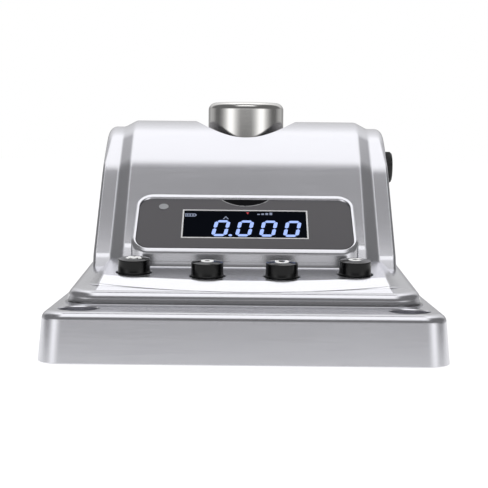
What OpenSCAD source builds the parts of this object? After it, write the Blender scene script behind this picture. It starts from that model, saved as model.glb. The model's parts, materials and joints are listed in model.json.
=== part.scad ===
// Bench-top digital torque tester.
// A cast base flange carries a strain-gauge torque cell with a round measuring post.
// A cast housing covers the cell, and holds the display, four push-buttons, a zero
// knob, the battery and the boards. X is to the right, Y to the back and Z up.
// The origin is under the middle of the base flange.

/* [Base flange] */
// Width of the base flange at the bench
base_w = 141.2; // [136:0.1:156]
// Depth of the base flange, front to back
base_l = 210; // [206:1:230]
// Height of the base flange
base_h = 17.4; // [16:0.1:20]
// Radius of the flange's upright corners
base_corner_r = 9; // [5:0.5:12]
// Radius of the flange's upper edge
base_edge_r = 2.8; // [1.5:0.1:4]
// How far the flange's sides lean in from bottom to top
base_draft = 1.2; // [0.5:0.1:2]
// Thickness left under the electronics tray
tray_floor_t = 5; // [4:0.1:5.5]

/* [Bench bolts] */
// Distance from the flange's edges to the centre of each bolt hole
bolt_inset = 13.4; // [12.5:0.1:14.5]
// Diameter of the four bolt holes
bolt_hole_d = 9; // [6.5:0.5:10]
// Diameter of the counterbores for the bolt heads
bolt_bore_d = 14; // [12:0.5:15]
// Depth of the counterbores
bolt_bore_depth = 9; // [6:0.5:10]

/* [Plinth] */
// Flange left bare at each side of the plinth
side_ledge = 6.8; // [6:0.1:8.5]
// Flange left bare before and behind the plinth
end_ledge = 22.8; // [21.5:0.1:24.5]
// Radius of the plinth's upright corners
plinth_corner_r = 11.6; // [8:0.1:14]
// Height of the plinth's front wall
plinth_h = 4.3; // [3.8:0.1:5.5]
// Radius of the plinth's upper edge
plinth_edge_r = 2; // [1:0.1:2.6]
// Rise of the plinth's top towards the back, in degrees
plinth_slope = 3.56; // [3:0.1:4.2]

/* [Housing] */
// Height of the housing's crest above the bench
crest_h = 85.4; // [82:0.1:92]
// Radius of the crest on its front side
crest_r = 31; // [27:0.5:34]
// Radius of the crest on its rear side
rear_r = 32.9; // [32.9:0.1:36]
// Plinth left bare behind the rear wall
rear_ledge = 2.8; // [2:0.1:3.6]
// Plinth left bare at each side of the housing
body_ledge = 3.2; // [1.5:0.1:4]
// Width of each flat ear beside the raised face
ear_w = 7; // [5:0.1:8]
// Width of the slanted strip between an ear and the raised face
bevel_w = 5.2; // [3.5:0.1:6]
// How far the ears lie behind the raised face
ear_step = 2.8; // [2:0.1:3.5]
// Height of the crease across the raised face
crease_h = 66.9; // [62:0.1:70]
// Slope of the face below the crease, in degrees
lower_slope = 44.8; // [42:0.1:48]
// Slope of the face above the crease, in degrees
upper_slope = 38.7; // [35:0.1:41]
// Thickness of the housing's walls
wall_t = 2.8; // [2.2:0.1:3.2]

/* [Display] */
// Face left bare at each side of the display box
box_margin = 3.85; // [3:0.05:6]
// Depth of the display box, seen from above
box_l = 33.5; // [32:0.1:36]
// Reach of the display box in front of the foot of the face
box_reach = 16.5; // [15:0.1:18]
// Height of the display box's front wall
box_wall_h = 5.8; // [5:0.1:7]
// Slope of the display, in degrees
panel_slope = 32; // [30:0.5:34]
// Panel left at each side of the visible display
lcd_side = 20; // [17:0.1:24]
// Visible height of the liquid crystal display
lcd_l = 18.4; // [16:0.1:19]

/* [Buttons] */
// Diameter of the button caps
button_d = 12; // [10:0.1:12.6]
// Height of the cap's rim above the panel
button_h = 4.9; // [4:0.1:6]
// Distance from the button panel's side to the centre of the outer button
button_margin = 11.15; // [10:0.05:14]
// Distance that a button travels
button_travel = 0.8; // [0.4:0.1:1]
// Slope of the button panel, in degrees
boss_slope = 6.4; // [5.8:0.1:7]

/* [Measuring post] */
// Diameter of the measuring post
post_d = 33.6; // [30:0.1:35]
// Height of the post's top above the bench
post_top_h = 93.7; // [92:0.1:104]
// Diameter of the well in the housing round the post
well_d = 45.2; // [43:0.1:46]
// Side of the square drive socket in the post's top
socket_side = 9.6; // [6.4:0.1:12.8]
// Depth of the drive socket
socket_depth = 14; // [8:0.5:16]

/* [Zero knob] */
// Diameter of the zero knob
knob_d = 13.6; // [12.6:0.1:15]
// Thickness of the zero knob
knob_t = 2.8; // [2.6:0.1:4]

/* [Hidden] */
$fn = 48;
hull_fn = 32;
arc_steps = 8;
round_steps = 3;
// Overrun of cuts, thickness of the slabs that hulls join, and the usual clearances
over = 1;
skin = 0.2;
fit_gap = 0.05;
free_gap = 0.3;

// Base flange
land_t = 0.4;
land_margin = 0.8;
deck_h = base_h + land_t;
half_l = base_l / 2;

// Plinth
plinth_w = base_w - 2 * side_ledge;
plinth_l = base_l - 2 * end_ledge;
plinth_y = end_ledge - half_l;
plinth_wall_t = 4.5;
plinth_roof_t = 2.4;
plinth_draft = 0.3;
function plinth_z(y) = deck_h + plinth_h + (y - plinth_y) * tan(plinth_slope);

// Housing outline, seen from the side
body_w = plinth_w - 2 * body_ledge;
face_w = body_w - 2 * (ear_w + bevel_w);
rear_y = half_l - end_ledge - rear_ledge;
crest_y = rear_y - rear_r;
tangent_y = crest_y - crest_r * sin(upper_slope);
tangent_z = crest_h - crest_r * (1 - cos(upper_slope));
crease_y = tangent_y - (tangent_z - crease_h) / tan(upper_slope);
face_foot_rise = 16.4;
ear_foot_rise = 12.4;
skirt_slope = 62;
face_foot_h = deck_h + face_foot_rise;
ear_foot_h = deck_h + ear_foot_rise;
face_foot_y = crease_y - (crease_h - face_foot_h) / tan(lower_slope);
side_edge_r = 1.4;
top_corner_r = 3.4;

// The crease point, moved square to both faces by one inset
function crease_point(inset) =
    let (bisector = (upper_slope + lower_slope) / 2,
         reach = inset / cos((lower_slope - upper_slope) / 2))
    [crease_y + reach * sin(bisector), crease_h - reach * cos(bisector)];
// The foot of the face at one height, with the face moved back by one inset
function foot_y(inset, h) =
    crease_y + inset / sin(lower_slope) - (crease_h - h) / tan(lower_slope);
// Side view of the housing: inset at the face, inset at the crest, foot and bottom height
function side_view(inset, top_inset, foot_h, low_h) = concat(
    [[foot_y(inset, foot_h) - (foot_h - low_h) / tan(skirt_slope), low_h],
     [foot_y(inset, foot_h), foot_h],
     crease_point(inset)],
    [for (i = [0:arc_steps])
        let (a = upper_slope * (1 - i / arc_steps),
             d = inset + (top_inset - inset) * i / arc_steps)
        [crest_y - (crest_r - d) * sin(a), crest_h - crest_r + (crest_r - d) * cos(a)]],
    [for (i = [1:arc_steps])
        let (a = 90 * i / arc_steps)
        [crest_y + (rear_r - top_inset) * sin(a),
         crest_h - rear_r + (rear_r - top_inset) * cos(a)]],
    [[rear_y - top_inset, low_h]]
);

// Button panel
boss_setback = 2.4;
boss_rise = 0.17;
boss_margin = 10.8;
boss_foot_spread = 4.3;
boss_arc_r = 121.6;
boss_roof_t = 2.5;
boss_w = plinth_w - 2 * boss_margin;
boss_y = plinth_y + boss_setback;
boss_z = plinth_z(boss_y) + boss_rise;
boss_l = (face_foot_y - boss_y) / cos(boss_slope);
boss_cavity_margin = 3.5;
boss_cavity_front = 14;
button_count = 4;
button_pitch = (boss_w - 2 * button_margin) / (button_count - 1);
function boss_surface_z(y) = boss_z + (y - boss_y) * tan(boss_slope);

// Display box
box_w = face_w - 2 * box_margin;
box_corner_r = 7.2;
lcd_w = box_w - 2 * lcd_side;
box_y = face_foot_y - box_reach;
panel_z = boss_surface_z(box_y) + box_wall_h;
panel_l = box_l / cos(panel_slope);
seat_t = 1.2;
rim_lip = 0.6;
rim_r = 1.4;
box_cavity_rear = 1.4;
rim_side = 1.8;
rim_end = 2.5;
box_roof_t = 2.6;
lcd_frame_w = 0.6;
lens_drop = 0.2;
module_margin = 3.4;
module_t = 6;
module_gap = 0.5;
lcd_y = panel_l / 2 - lcd_frame_w;
display_board_side = 6.35;
display_board_w = box_w - 2 * display_board_side;
display_board_l = 30;
board_t = 1.6;
display_boss_r = 3;
display_boss_side = 10.85;
display_boss_x = box_w / 2 - display_boss_side;
display_boss_dy = 4.5;
small_screw_r = 1.25;
small_head_r = 2.2;
small_head_t = 1.6;
small_screw_l = 5;
lamp_d = 3.9;
lamp_side = 11.55;
lamp_x = lamp_side - box_w / 2;
lamp_rise = 11;
lamp_proud = 0.15;
lamp_flange_r = 2.6;
lamp_flange_t = 1.4;

// Buttons, in the button panel's own frame
button_arc_r = 150;
button_row = 26.6;
button_gap = 0.35;
flange_spread = 0.45;
flange_low = 0.15;
flange_t = 0.55;
cap_dome = 0.75;
cap_edge_r = 0.35;
cap_below = 1.2;
plunger_r = 2;
plunger_gap = 0.1;
switch_side = 12;
switch_t = 3.6;
switch_floor_t = 0.9;
plunger_sink = 1.3;
switch_drop = 4.9;
button_board_side = 4;
button_board_w = boss_w - 2 * button_board_side;
button_board_l = 20;
button_board_shift = 3;
button_boss_r = 3.2;
button_screw_r = 1.5;
button_head_r = 2.6;
button_head_t = 1.8;
button_screw_l = 4;
button_hole_r = button_d / 2 + flange_spread + button_gap;
function button_x(i) = (i - (button_count - 1) / 2) * button_pitch;
function arc_sag(r, x) = r - sqrt(r * r - x * x);
function button_y(i) = button_row + arc_sag(button_arc_r, button_x(i));

// Measuring post and torque cell
post_shift = 2.5;
post_y = crest_y + post_shift;
post_r = post_d / 2;
post_edge_r = 3.3;
post_gap = 0.4;
socket_lead = 0.8;
well_r = well_d / 2;
well_wall_t = 2.8;
well_floor_t = 3;
well_depth = 12.7;
well_floor_h = crest_h - well_depth;
spigot_r = 9;
spigot_l = 9;
spigot_gap = 1;
post_foot_drop = 1.5;
post_foot_h = well_floor_h - well_floor_t - post_foot_drop;
hub_r = 16.5;
hub_t = 12;
cell_side = 19;
cell_flange_r = 21;
cell_flange_t = 8;
cell_screw_pcr = 16.2;
cell_screw_r = 2.5;
cell_screw_count = 4;
cell_head_r = 4.25;
cell_head_t = 5;
cell_head_recess = 0.4;
cell_grip = 5;
gauge_w = 8;
gauge_l = 10;
gauge_t = 0.5;
set_screw_r = 2;
set_screw_l = 7;
set_screw_count = 3;

// Tray for the electronics, ahead of the torque cell
tray_side = 8.5;
tray_front_gap = 9;
tray_rear_gap = 5.2;
tray_corner_r = 5;
tray_w = plinth_w - 2 * tray_side;
tray_front_y = plinth_y + tray_front_gap;
tray_rear_y = post_y - cell_flange_r - tray_rear_gap;
tray_l = tray_rear_y - tray_front_y;
tray_y = (tray_rear_y + tray_front_y) / 2;

// Housing screws
housing_screw_inset = 4.7;
screw_x = plinth_w / 2 - housing_screw_inset;
housing_screw_r = 2;
housing_boss_r = 3.8;
housing_boss_t = 9;
housing_head_r = 3.8;
housing_head_t = 3;
housing_head_recess = 0.4;
housing_grip = 3.5;
screw_rows_share = [0.135, 0.54, 0.9];

// Battery and main board
cell_r = 7.25;
cell_l = 50.5;
cell_gap = 0.2;
battery_side = 16;
cell_count = floor((tray_w - 2 * battery_side) / (2 * cell_r + cell_gap));
cell_nub_r = 2.7;
cell_nub_l = 1;
cradle_t = 1;
cradle_wall_h = 8;
cradle_margin = 0.3;
cradle_w = cell_count * 2 * cell_r + (cell_count - 1) * cell_gap + 2 * (cradle_margin + cradle_t);
cradle_l = cell_l + 2 * (cradle_margin + cradle_t);
board_overhang = 10.05;
main_board_w = cradle_w + 2 * board_overhang;
main_board_l = 36;
main_board_rise = 6;
main_board_shift = 8.5;
standoff_r = 2.5;
standoff_inset = 4;
standoff_screw_r = 1.5;
standoff_grip = 5;
pan_head_r = 2.7;
pan_head_t = 1.8;
main_board_z = deck_h + main_board_rise;
main_board_y = face_foot_y + main_board_shift + main_board_l / 2;
battery_rear_gap = 2.6;
battery_y = tray_y + tray_l / 2 - battery_rear_gap - cradle_l / 2;
battery_z = tray_floor_t + cradle_t + cell_r;
strap_t = 0.8;
strap_w = 12;
strap_foot = 9;
strap_shift = 16;
strap_screw_r = 1.5;
strap_hole_depth = 4;
strap_y = battery_y - strap_shift;
strap_foot_x = (cradle_w + strap_foot) / 2;
component_h = 6;
// Each component: place and size on the board, then its height
component_shares = [
    [-0.22, 0.02, 0.15, 0.39, 0.27], [0.07, 0.14, 0.1, 0.22, 0.25], [0.2, 0.26, 0.06, 0.14, 0.3],
    [0.36, 0.12, 0.1, 0.28, 1], [0.36, -0.22, 0.08, 0.2, 0.5], [-0.38, 0.22, 0.05, 0.12, 0.4],
    [-0.38, -0.02, 0.05, 0.12, 0.4], [-0.02, -0.12, 0.03, 0.1, 0.2]
];

// Zero knob and its potentiometer
knob_back = 14.5;
knob_drop = 19.7;
knob_y = crest_y - knob_back;
knob_z = crest_h - knob_drop;
knob_gap = 0.4;
knob_edge_r = 1;
knob_hollow_r = 5.5;
knob_hollow_t = 1.4;
shaft_r = 2;
shaft_cover_t = 0.6;
shaft_inner_l = 6;
bush_r = 3.5;
bush_l = 4.3;
bush_hole_gap = 0.1;
pot_r = 7;
pot_l = 9;
nut_r = 4.9;
nut_t = 1.2;

// Sockets in the rear wall
jack_side = 10.3;
jack_x = jack_side - face_w / 2;
jack_rise = 27;
jack_z = deck_h + jack_rise;
jack_flange_r = 7;
jack_flange_t = 1.5;
jack_body_r = 5.5;
jack_body_l = 14;
jack_bore_r = 1.8;
jack_bore_l = 12;
jack_nut_r = 7.4;
jack_nut_t = 2.5;
port_side = 14.3;
port_x = face_w / 2 - port_side;
port_w = 12;
port_h = 11;
port_proud = 0.6;
port_shell_t = 1.4;
port_hollow_l = 8;
tongue_w = 5.6;
tongue_h = 3.2;
tongue_recess = 0.6;
port_gap = 0.3;
port_board_w = 24;
port_board_h = 20;
port_stand_r = 2.5;
port_stand_l = 8;
port_stand_x = 9;
port_screw_r = 1.5;
port_screw_grip = 4;
port_z = jack_z;
port_board_y = rear_y - wall_t - port_stand_l;

// Ribbons
ribbon_w = 18;
ribbon_t = 0.8;
ribbon_x = 12;
ribbon_run = 7;
key_ribbon_w = 10;
key_ribbon_shift = 3.7;
key_ribbon_x = key_ribbon_shift - button_pitch;
key_ribbon_land = 5;
key_ribbon_rise = 7.5;
display_back = seat_t + module_t + board_t;
switch_back = switch_drop + switch_t;
function display_under_z(y) =
    panel_z + (y - box_y) * tan(panel_slope) - display_back / cos(panel_slope);
function boss_point(y, n) = [boss_y + y * cos(boss_slope) - n * sin(boss_slope),
                             boss_z + y * sin(boss_slope) + n * cos(boss_slope)];

module rounded(w, l, r) {
    square([w - 2 * r, l], center = true);
    square([w, l - 2 * r], center = true);
    for (x = [-1, 1], y = [-1, 1])
        translate([x * (w / 2 - r), y * (l / 2 - r)]) circle(r);
}

// Stacked slabs that round the upper edge of a block, for use inside a hull
module edge_slabs(w, l, corner_r, edge_r, $fn) {
    for (i = [0:round_steps])
        let (a = 90 * i / round_steps, in = edge_r * (1 - cos(a)))
        translate([0, 0, -edge_r * (1 - sin(a)) - skin])
            linear_extrude(skin) rounded(w - 2 * in, l - 2 * in, corner_r - in);
}

module on_plinth() {
    translate([0, plinth_y, deck_h + plinth_h]) rotate([plinth_slope, 0, 0]) children();
}

module on_boss() {
    translate([0, boss_y, boss_z]) rotate([boss_slope, 0, 0]) children();
}

module on_panel() {
    translate([0, box_y, panel_z]) rotate([panel_slope, 0, 0]) children();
}

// Lays a side view upright, with its thickness centred on one X
module upright(x, thickness, points) {
    translate([x - thickness / 2, 0, 0])
        rotate([90, 0, 90]) linear_extrude(thickness) polygon(points);
}

module at_button(i) {
    on_boss() translate([button_x(i), button_y(i), 0]) children();
}

// The places of the bench bolts, housing screws and cell screws
module at_bolts() {
    for (x = [-1, 1], y = [-1, 1])
        translate([x * (base_w / 2 - bolt_inset), y * (half_l - bolt_inset), 0]) children();
}

module at_housing_screws() {
    for (x = [-1, 1], share = screw_rows_share)
        translate([x * screw_x, plinth_y + plinth_l * share, 0]) children();
}

module at_cell_screws() {
    for (i = [0:cell_screw_count - 1])
        translate([0, post_y, 0])
            rotate(45 + i * 360 / cell_screw_count)
                translate([cell_screw_pcr, 0, 0]) children();
}

module base_casting() color("silver") difference() {
    union() {
        hull() {
            linear_extrude(skin) rounded(base_w, base_l, base_corner_r, $fn = hull_fn);
            translate([0, 0, base_h])
                edge_slabs(base_w - 2 * base_draft, base_l - 2 * base_draft,
                           base_corner_r - base_draft / 2, base_edge_r, hull_fn);
        }
        translate([0, 0, base_h - skin]) linear_extrude(skin + land_t)
            rounded(plinth_w + 2 * land_margin, plinth_l + 2 * land_margin,
                    plinth_corner_r + land_margin);
    }
    translate([0, tray_y, tray_floor_t])
        linear_extrude(deck_h) rounded(tray_w, tray_l, tray_corner_r);
    at_bolts() {
        translate([0, 0, -over]) cylinder(d = bolt_hole_d, h = base_h + 2 * over);
        translate([0, 0, base_h - bolt_bore_depth])
            cylinder(d = bolt_bore_d, h = bolt_bore_depth + over);
    }
    at_housing_screws() {
        translate([0, 0, -over]) cylinder(r = housing_screw_r + free_gap, h = deck_h + 2 * over);
        translate([0, 0, -over])
            cylinder(r = housing_head_r + free_gap, h = housing_head_recess + housing_head_t + over);
    }
    at_cell_screws() {
        translate([0, 0, -over]) cylinder(r = cell_screw_r + free_gap, h = deck_h + 2 * over);
        translate([0, 0, -over])
            cylinder(r = cell_head_r + free_gap, h = cell_head_recess + cell_head_t + over);
    }
    for (x = [-1, 1])
        translate([x * strap_foot_x, strap_y, tray_floor_t - strap_hole_depth])
            cylinder(r = strap_screw_r + fit_gap, h = strap_hole_depth + over);
}

module boss_outline(w, front) {
    polygon(concat(
        [for (i = [-arc_steps:arc_steps])
            let (x = i / arc_steps * w / 2) [x, arc_sag(boss_arc_r, x) - front]],
        [[w / 2, boss_l], [-w / 2, boss_l]]));
}

module plinth_block() hull() {
    translate([0, plinth_y + plinth_l / 2, deck_h])
        linear_extrude(skin) rounded(plinth_w, plinth_l, plinth_corner_r, $fn = hull_fn);
    on_plinth() translate([0, plinth_l / 2, 0])
        edge_slabs(plinth_w - 2 * plinth_draft, plinth_l, plinth_corner_r, plinth_edge_r, hull_fn);
}

module boss_block() hull() {
    on_boss() translate([0, 0, -skin]) linear_extrude(skin) boss_outline(boss_w, 0);
    on_plinth() translate([0, boss_setback, -skin])
        linear_extrude(skin) boss_outline(boss_w + 2 * boss_foot_spread, skin);
}

module ear_block() intersection() {
    hull() for (side = [-1, 1], i = [0:round_steps])
        let (a = 90 * i / round_steps, in = ear_step + side_edge_r * (1 - sin(a)))
        upright(side * (body_w / 2 - side_edge_r * (1 - cos(a)) - skin / 2), skin,
                side_view(in, in, ear_foot_h, deck_h));
    translate([0, rear_y + over, 0]) rotate([90, 0, 0])
        linear_extrude(rear_y - face_foot_y + 2 * crest_r) {
            translate([-body_w / 2, 0])
                square([body_w, crest_h - ear_step - top_corner_r]);
            translate([top_corner_r - body_w / 2, 0])
                square([body_w - 2 * top_corner_r, crest_h]);
            for (x = [-1, 1])
                translate([x * (body_w / 2 - top_corner_r), crest_h - ear_step - top_corner_r])
                    circle(top_corner_r);
        }
}

module face_block() hull() for (side = [-1, 1]) {
    upright(side * (face_w / 2 - skin / 2), skin, side_view(0, 0, face_foot_h, deck_h));
    upright(side * (face_w / 2 + bevel_w - skin / 2), skin,
            side_view(ear_step, ear_step, ear_foot_h, deck_h));
}

// The part of an upright column that lies between two levels of the display's slope
module between_panels(low, high, bottom = deck_h) intersection() {
    translate([0, box_y + box_l / 2, bottom]) linear_extrude(crest_h) children();
    on_panel() translate([-box_w, -box_l, low]) cube([2 * box_w, 3 * box_l, high - low]);
}

module display_box() hull() {
    translate([0, box_y + box_l / 2, deck_h])
        linear_extrude(skin) rounded(box_w, box_l, box_corner_r, $fn = hull_fn);
    on_panel() for (i = [0:round_steps])
        let (a = 90 * i / round_steps, in = rim_r * (1 - cos(a)),
             top = rim_lip - rim_r * (1 - sin(a)))
        translate([0, panel_l / 2 + top * tan(panel_slope), top - skin])
            linear_extrude(skin) scale([1, 1 / cos(panel_slope)])
                rounded(box_w - 2 * in, box_l - 2 * in, box_corner_r - in, $fn = hull_fn);
}

module housing_cavity() difference() {
    union() {
        translate([0, plinth_y + plinth_l / 2, deck_h - over])
            linear_extrude(over + plinth_h - plinth_roof_t)
                rounded(plinth_w - 2 * plinth_wall_t, plinth_l - 2 * plinth_wall_t,
                        plinth_corner_r - plinth_wall_t);
        on_boss()
            translate([boss_cavity_margin - boss_w / 2, boss_cavity_front, -boss_roof_t - crest_h])
            cube([boss_w - 2 * boss_cavity_margin, boss_l - box_reach - boss_cavity_front + 2 * wall_t,
                  crest_h]);
        between_panels(-crest_h, -seat_t - box_roof_t, deck_h - over)
            translate([0, (wall_t - box_cavity_rear) / 2])
                square([box_w - 2 * wall_t, box_l - wall_t - box_cavity_rear], center = true);
        upright(0, body_w - 2 * wall_t,
                side_view(ear_step + wall_t, ear_step + wall_t, ear_foot_h, deck_h - over));
        upright(0, face_w - 2 * wall_t, side_view(wall_t, wall_t, face_foot_h, deck_h - over));
    }
    translate([0, post_y, well_floor_h - well_floor_t])
        cylinder(r = well_r + well_wall_t, h = crest_h);
    at_housing_screws() cylinder(r = housing_boss_r, h = deck_h + housing_boss_t);
    at_display_bosses() translate([0, 0, -module_t - seat_t])
        cylinder(r = display_boss_r, h = module_t + seat_t);
    at_button_bosses() translate([0, 0, -switch_drop - switch_t])
        cylinder(r = button_boss_r, h = switch_drop + switch_t);
}

module at_display_bosses() {
    on_panel() for (x = [-1, 1], y = [-1, 1])
        translate([x * display_boss_x, panel_l / 2 + y * display_boss_dy, 0]) children();
}

module at_button_bosses() {
    on_boss() for (i = [-1, 0, 1])
        translate([i * button_pitch, button_row + button_board_shift, 0]) children();
}

module upper_housing() color("silver") difference() {
    union() {
        plinth_block();
        boss_block();
        ear_block();
        face_block();
        display_box();
    }
    housing_cavity();
    // Well and passage for the measuring post
    translate([0, post_y, well_floor_h]) cylinder(r = well_r, h = crest_h);
    translate([0, post_y, well_floor_h - well_floor_t - over])
        cylinder(r = post_r + post_gap, h = well_floor_t + 2 * over);
    // Pocket for the display panel
    between_panels(-seat_t, crest_h)
        rounded(box_w - 2 * rim_side, box_l - 2 * rim_end, box_corner_r - rim_side);
    // Holes for the buttons
    for (i = [0:button_count - 1])
        at_button(i) translate([0, 0, -boss_roof_t - over])
            cylinder(r = button_hole_r, h = boss_roof_t + 2 * over);
    // Window for the display module and hole for the lamp
    on_panel() {
        translate([0, lcd_y, -seat_t - box_roof_t / 2])
            cube([lcd_w + 2 * (module_margin + module_gap), lcd_l + 2 * (module_margin + module_gap),
                  box_roof_t + 2 * over], center = true);
        translate([lamp_x, panel_l / 2 + lamp_rise, -seat_t - box_roof_t - over])
            cylinder(r = lamp_d / 2 + fit_gap, h = box_roof_t + 2 * over);
    }
    // Holes for the knob's bush, the charging jack and the data port
    translate([body_w / 2 - wall_t - over, knob_y, knob_z]) rotate([0, 90, 0])
        cylinder(r = bush_r + bush_hole_gap, h = wall_t + 2 * over);
    translate([jack_x, rear_y + over, jack_z]) rotate([90, 0, 0])
        cylinder(r = jack_body_r + bush_hole_gap, h = wall_t + ear_step + 2 * over);
    translate([port_x, rear_y, port_z])
        cube([port_w + 2 * port_gap, 2 * (wall_t + ear_step + over), port_h + 2 * port_gap], center = true);
    // Screw holes in the bosses
    at_housing_screws() translate([0, 0, deck_h - over])
        cylinder(r = housing_screw_r + fit_gap, h = housing_grip + over);
    at_display_bosses() translate([0, 0, -module_t - seat_t - over])
        cylinder(r = small_screw_r + fit_gap, h = small_screw_l - board_t + over);
    at_button_bosses() translate([0, 0, -switch_drop - switch_t - over])
        cylinder(r = button_screw_r + fit_gap, h = button_screw_l + over);
}

module housing_screws() color("dimgray") at_housing_screws() {
    translate([0, 0, housing_head_recess]) difference() {
        cylinder(r = housing_head_r, h = housing_head_t);
        translate([0, 0, -over])
            cylinder(r = housing_head_r / 2, h = housing_head_t / 2 + over, $fn = 6);
    }
    translate([0, 0, housing_head_recess + housing_head_t - skin])
        cylinder(r = housing_screw_r,
                 h = deck_h + housing_grip - fit_gap + skin - housing_head_recess - housing_head_t);
}

module display_panel() color([0.35, 0.34, 0.36]) difference() {
    between_panels(-seat_t, 0)
        rounded(box_w - 2 * (rim_side + fit_gap), box_l - 2 * (rim_end + fit_gap), box_corner_r - rim_side);
    on_panel() {
        translate([0, lcd_y, -seat_t / 2])
            cube([lcd_w + 2 * lcd_frame_w, lcd_l + 2 * lcd_frame_w, seat_t + 2 * over], center = true);
        translate([lamp_x, panel_l / 2 + lamp_rise, -seat_t - over])
            cylinder(r = lamp_d / 2 + fit_gap, h = seat_t + 2 * over);
    }
}

module lcd_frame() color("white") on_panel() translate([0, lcd_y, -seat_t / 2]) difference() {
    cube([lcd_w + 2 * lcd_frame_w, lcd_l + 2 * lcd_frame_w, seat_t], center = true);
    cube([lcd_w, lcd_l, seat_t + over], center = true);
}

module lcd_lens() color([0.05, 0.06, 0.09]) on_panel()
    translate([0, lcd_y, -(seat_t + lens_drop) / 2]) cube([lcd_w, lcd_l, seat_t - lens_drop], center = true);

module lcd_module() color("dimgray") on_panel()
    translate([0, lcd_y, -seat_t - module_t / 2])
        cube([lcd_w + 2 * module_margin, lcd_l + 2 * module_margin, module_t], center = true);

module display_board() color("darkgreen") on_panel() difference() {
    translate([0, panel_l / 2, -seat_t - module_t - board_t / 2])
        cube([display_board_w, display_board_l, board_t], center = true);
    for (x = [-1, 1], y = [-1, 1])
        translate([x * display_boss_x, panel_l / 2 + y * display_boss_dy, -display_back - over])
            cylinder(r = small_screw_r + fit_gap, h = board_t + 2 * over);
}

module display_board_screws() color("silver") at_display_bosses()
    translate([0, 0, -seat_t - module_t - board_t - small_head_t]) {
        cylinder(r = small_head_r, h = small_head_t);
        cylinder(r = small_screw_r, h = small_head_t + small_screw_l - fit_gap);
    }

module status_lamp() color("gainsboro") on_panel()
    translate([lamp_x, panel_l / 2 + lamp_rise, -seat_t - module_t]) {
        cylinder(r = lamp_flange_r, h = lamp_flange_t);
        cylinder(d = lamp_d, h = seat_t + module_t + lamp_proud);
    }

// A cap with a low dome and a thin flange at the panel
module button_cap(i) color([0.08, 0.08, 0.09]) at_button(i) rotate_extrude() polygon(concat(
    [[0, -cap_below], [button_d / 2, -cap_below], [button_d / 2, flange_low],
     [button_d / 2 + flange_spread, flange_low],
     [button_d / 2 + flange_spread, flange_low + flange_t],
     [button_d / 2, flange_low + flange_t], [button_d / 2, button_h - cap_edge_r]],
    [for (k = [0:arc_steps])
        let (share = 1 - k / arc_steps, x = (button_d / 2 - cap_edge_r) * share)
        [x, button_h + cap_dome * (1 - share * share)]]));

module button_plunger(i) color("white") at_button(i)
    translate([0, 0, -switch_drop - plunger_sink])
        cylinder(r = plunger_r, h = switch_drop + plunger_sink - cap_below);

module mode_button() button_cap(0);
module power_button() button_cap(1);
module unit_button() button_cap(2);
module clear_button() button_cap(3);
module mode_plunger() button_plunger(0);
module power_plunger() button_plunger(1);
module unit_plunger() button_plunger(2);
module clear_plunger() button_plunger(3);

module tact_switches() color("dimgray") for (i = [0:button_count - 1])
    at_button(i) translate([0, 0, -switch_back]) difference() {
        translate([-switch_side / 2, -switch_side / 2, 0]) cube([switch_side, switch_side, switch_t]);
        translate([0, 0, switch_floor_t]) cylinder(r = plunger_r + plunger_gap, h = switch_t);
    }

module button_board() color("darkgreen") difference() {
    on_boss() translate([-button_board_w / 2, button_row + button_board_shift - button_board_l / 2,
                         -switch_back - board_t])
        cube([button_board_w, button_board_l, board_t]);
    at_button_bosses() translate([0, 0, -switch_back - board_t - over])
        cylinder(r = button_screw_r + fit_gap, h = board_t + 2 * over);
}

module button_board_screws() color("silver") at_button_bosses()
    translate([0, 0, -switch_back - board_t - button_head_t]) {
        cylinder(r = button_head_r, h = button_head_t);
        cylinder(r = button_screw_r, h = button_head_t + board_t + button_screw_l - fit_gap);
    }

module at_standoffs() {
    for (x = [-1, 1], y = [-1, 1])
        translate([x * (main_board_w / 2 - standoff_inset),
                   main_board_y + y * (main_board_l / 2 - standoff_inset), 0]) children();
}

module main_board() color("darkgreen") difference() {
    translate([-main_board_w / 2, main_board_y - main_board_l / 2, main_board_z])
        cube([main_board_w, main_board_l, board_t]);
    at_standoffs() translate([0, 0, main_board_z - over])
        cylinder(r = standoff_screw_r + fit_gap, h = board_t + 2 * over);
}

module board_components() color("dimgray")
    translate([0, main_board_y, main_board_z + board_t]) for (c = component_shares)
        translate([(c.x - c[2] / 2) * main_board_w, (c.y - c[3] / 2) * main_board_l, 0])
            cube([c[2] * main_board_w, c[3] * main_board_l, c[4] * component_h]);

module board_standoffs() color("gold") at_standoffs() difference() {
    translate([0, 0, tray_floor_t]) cylinder(r = standoff_r, h = main_board_z - tray_floor_t);
    translate([0, 0, main_board_z - standoff_grip])
        cylinder(r = standoff_screw_r + fit_gap, h = standoff_grip + over);
}

module board_screws() color("silver") at_standoffs() {
    translate([0, 0, main_board_z + board_t]) cylinder(r = pan_head_r, h = pan_head_t);
    translate([0, 0, main_board_z - standoff_grip + fit_gap])
        cylinder(r = standoff_screw_r, h = standoff_grip + board_t + pan_head_t - fit_gap);
}

module battery_cradle() color("dimgray") translate([0, battery_y, tray_floor_t]) difference() {
    translate([-cradle_w / 2, -cradle_l / 2, 0]) cube([cradle_w, cradle_l, cradle_t + cradle_wall_h]);
    translate([cradle_t - cradle_w / 2, cradle_t - cradle_l / 2, cradle_t])
        cube([cradle_w - 2 * cradle_t, cradle_l - 2 * cradle_t, cradle_wall_h + over]);
}

module battery_cells() color("green") for (i = [0:cell_count - 1])
    translate([(i - (cell_count - 1) / 2) * (2 * cell_r + cell_gap), battery_y, battery_z])
        rotate([90, 0, 180 * (i % 2)]) translate([0, 0, -cell_l / 2]) {
            cylinder(r = cell_r, h = cell_l - cell_nub_l);
            cylinder(r = cell_nub_r, h = cell_l);
        }

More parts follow.
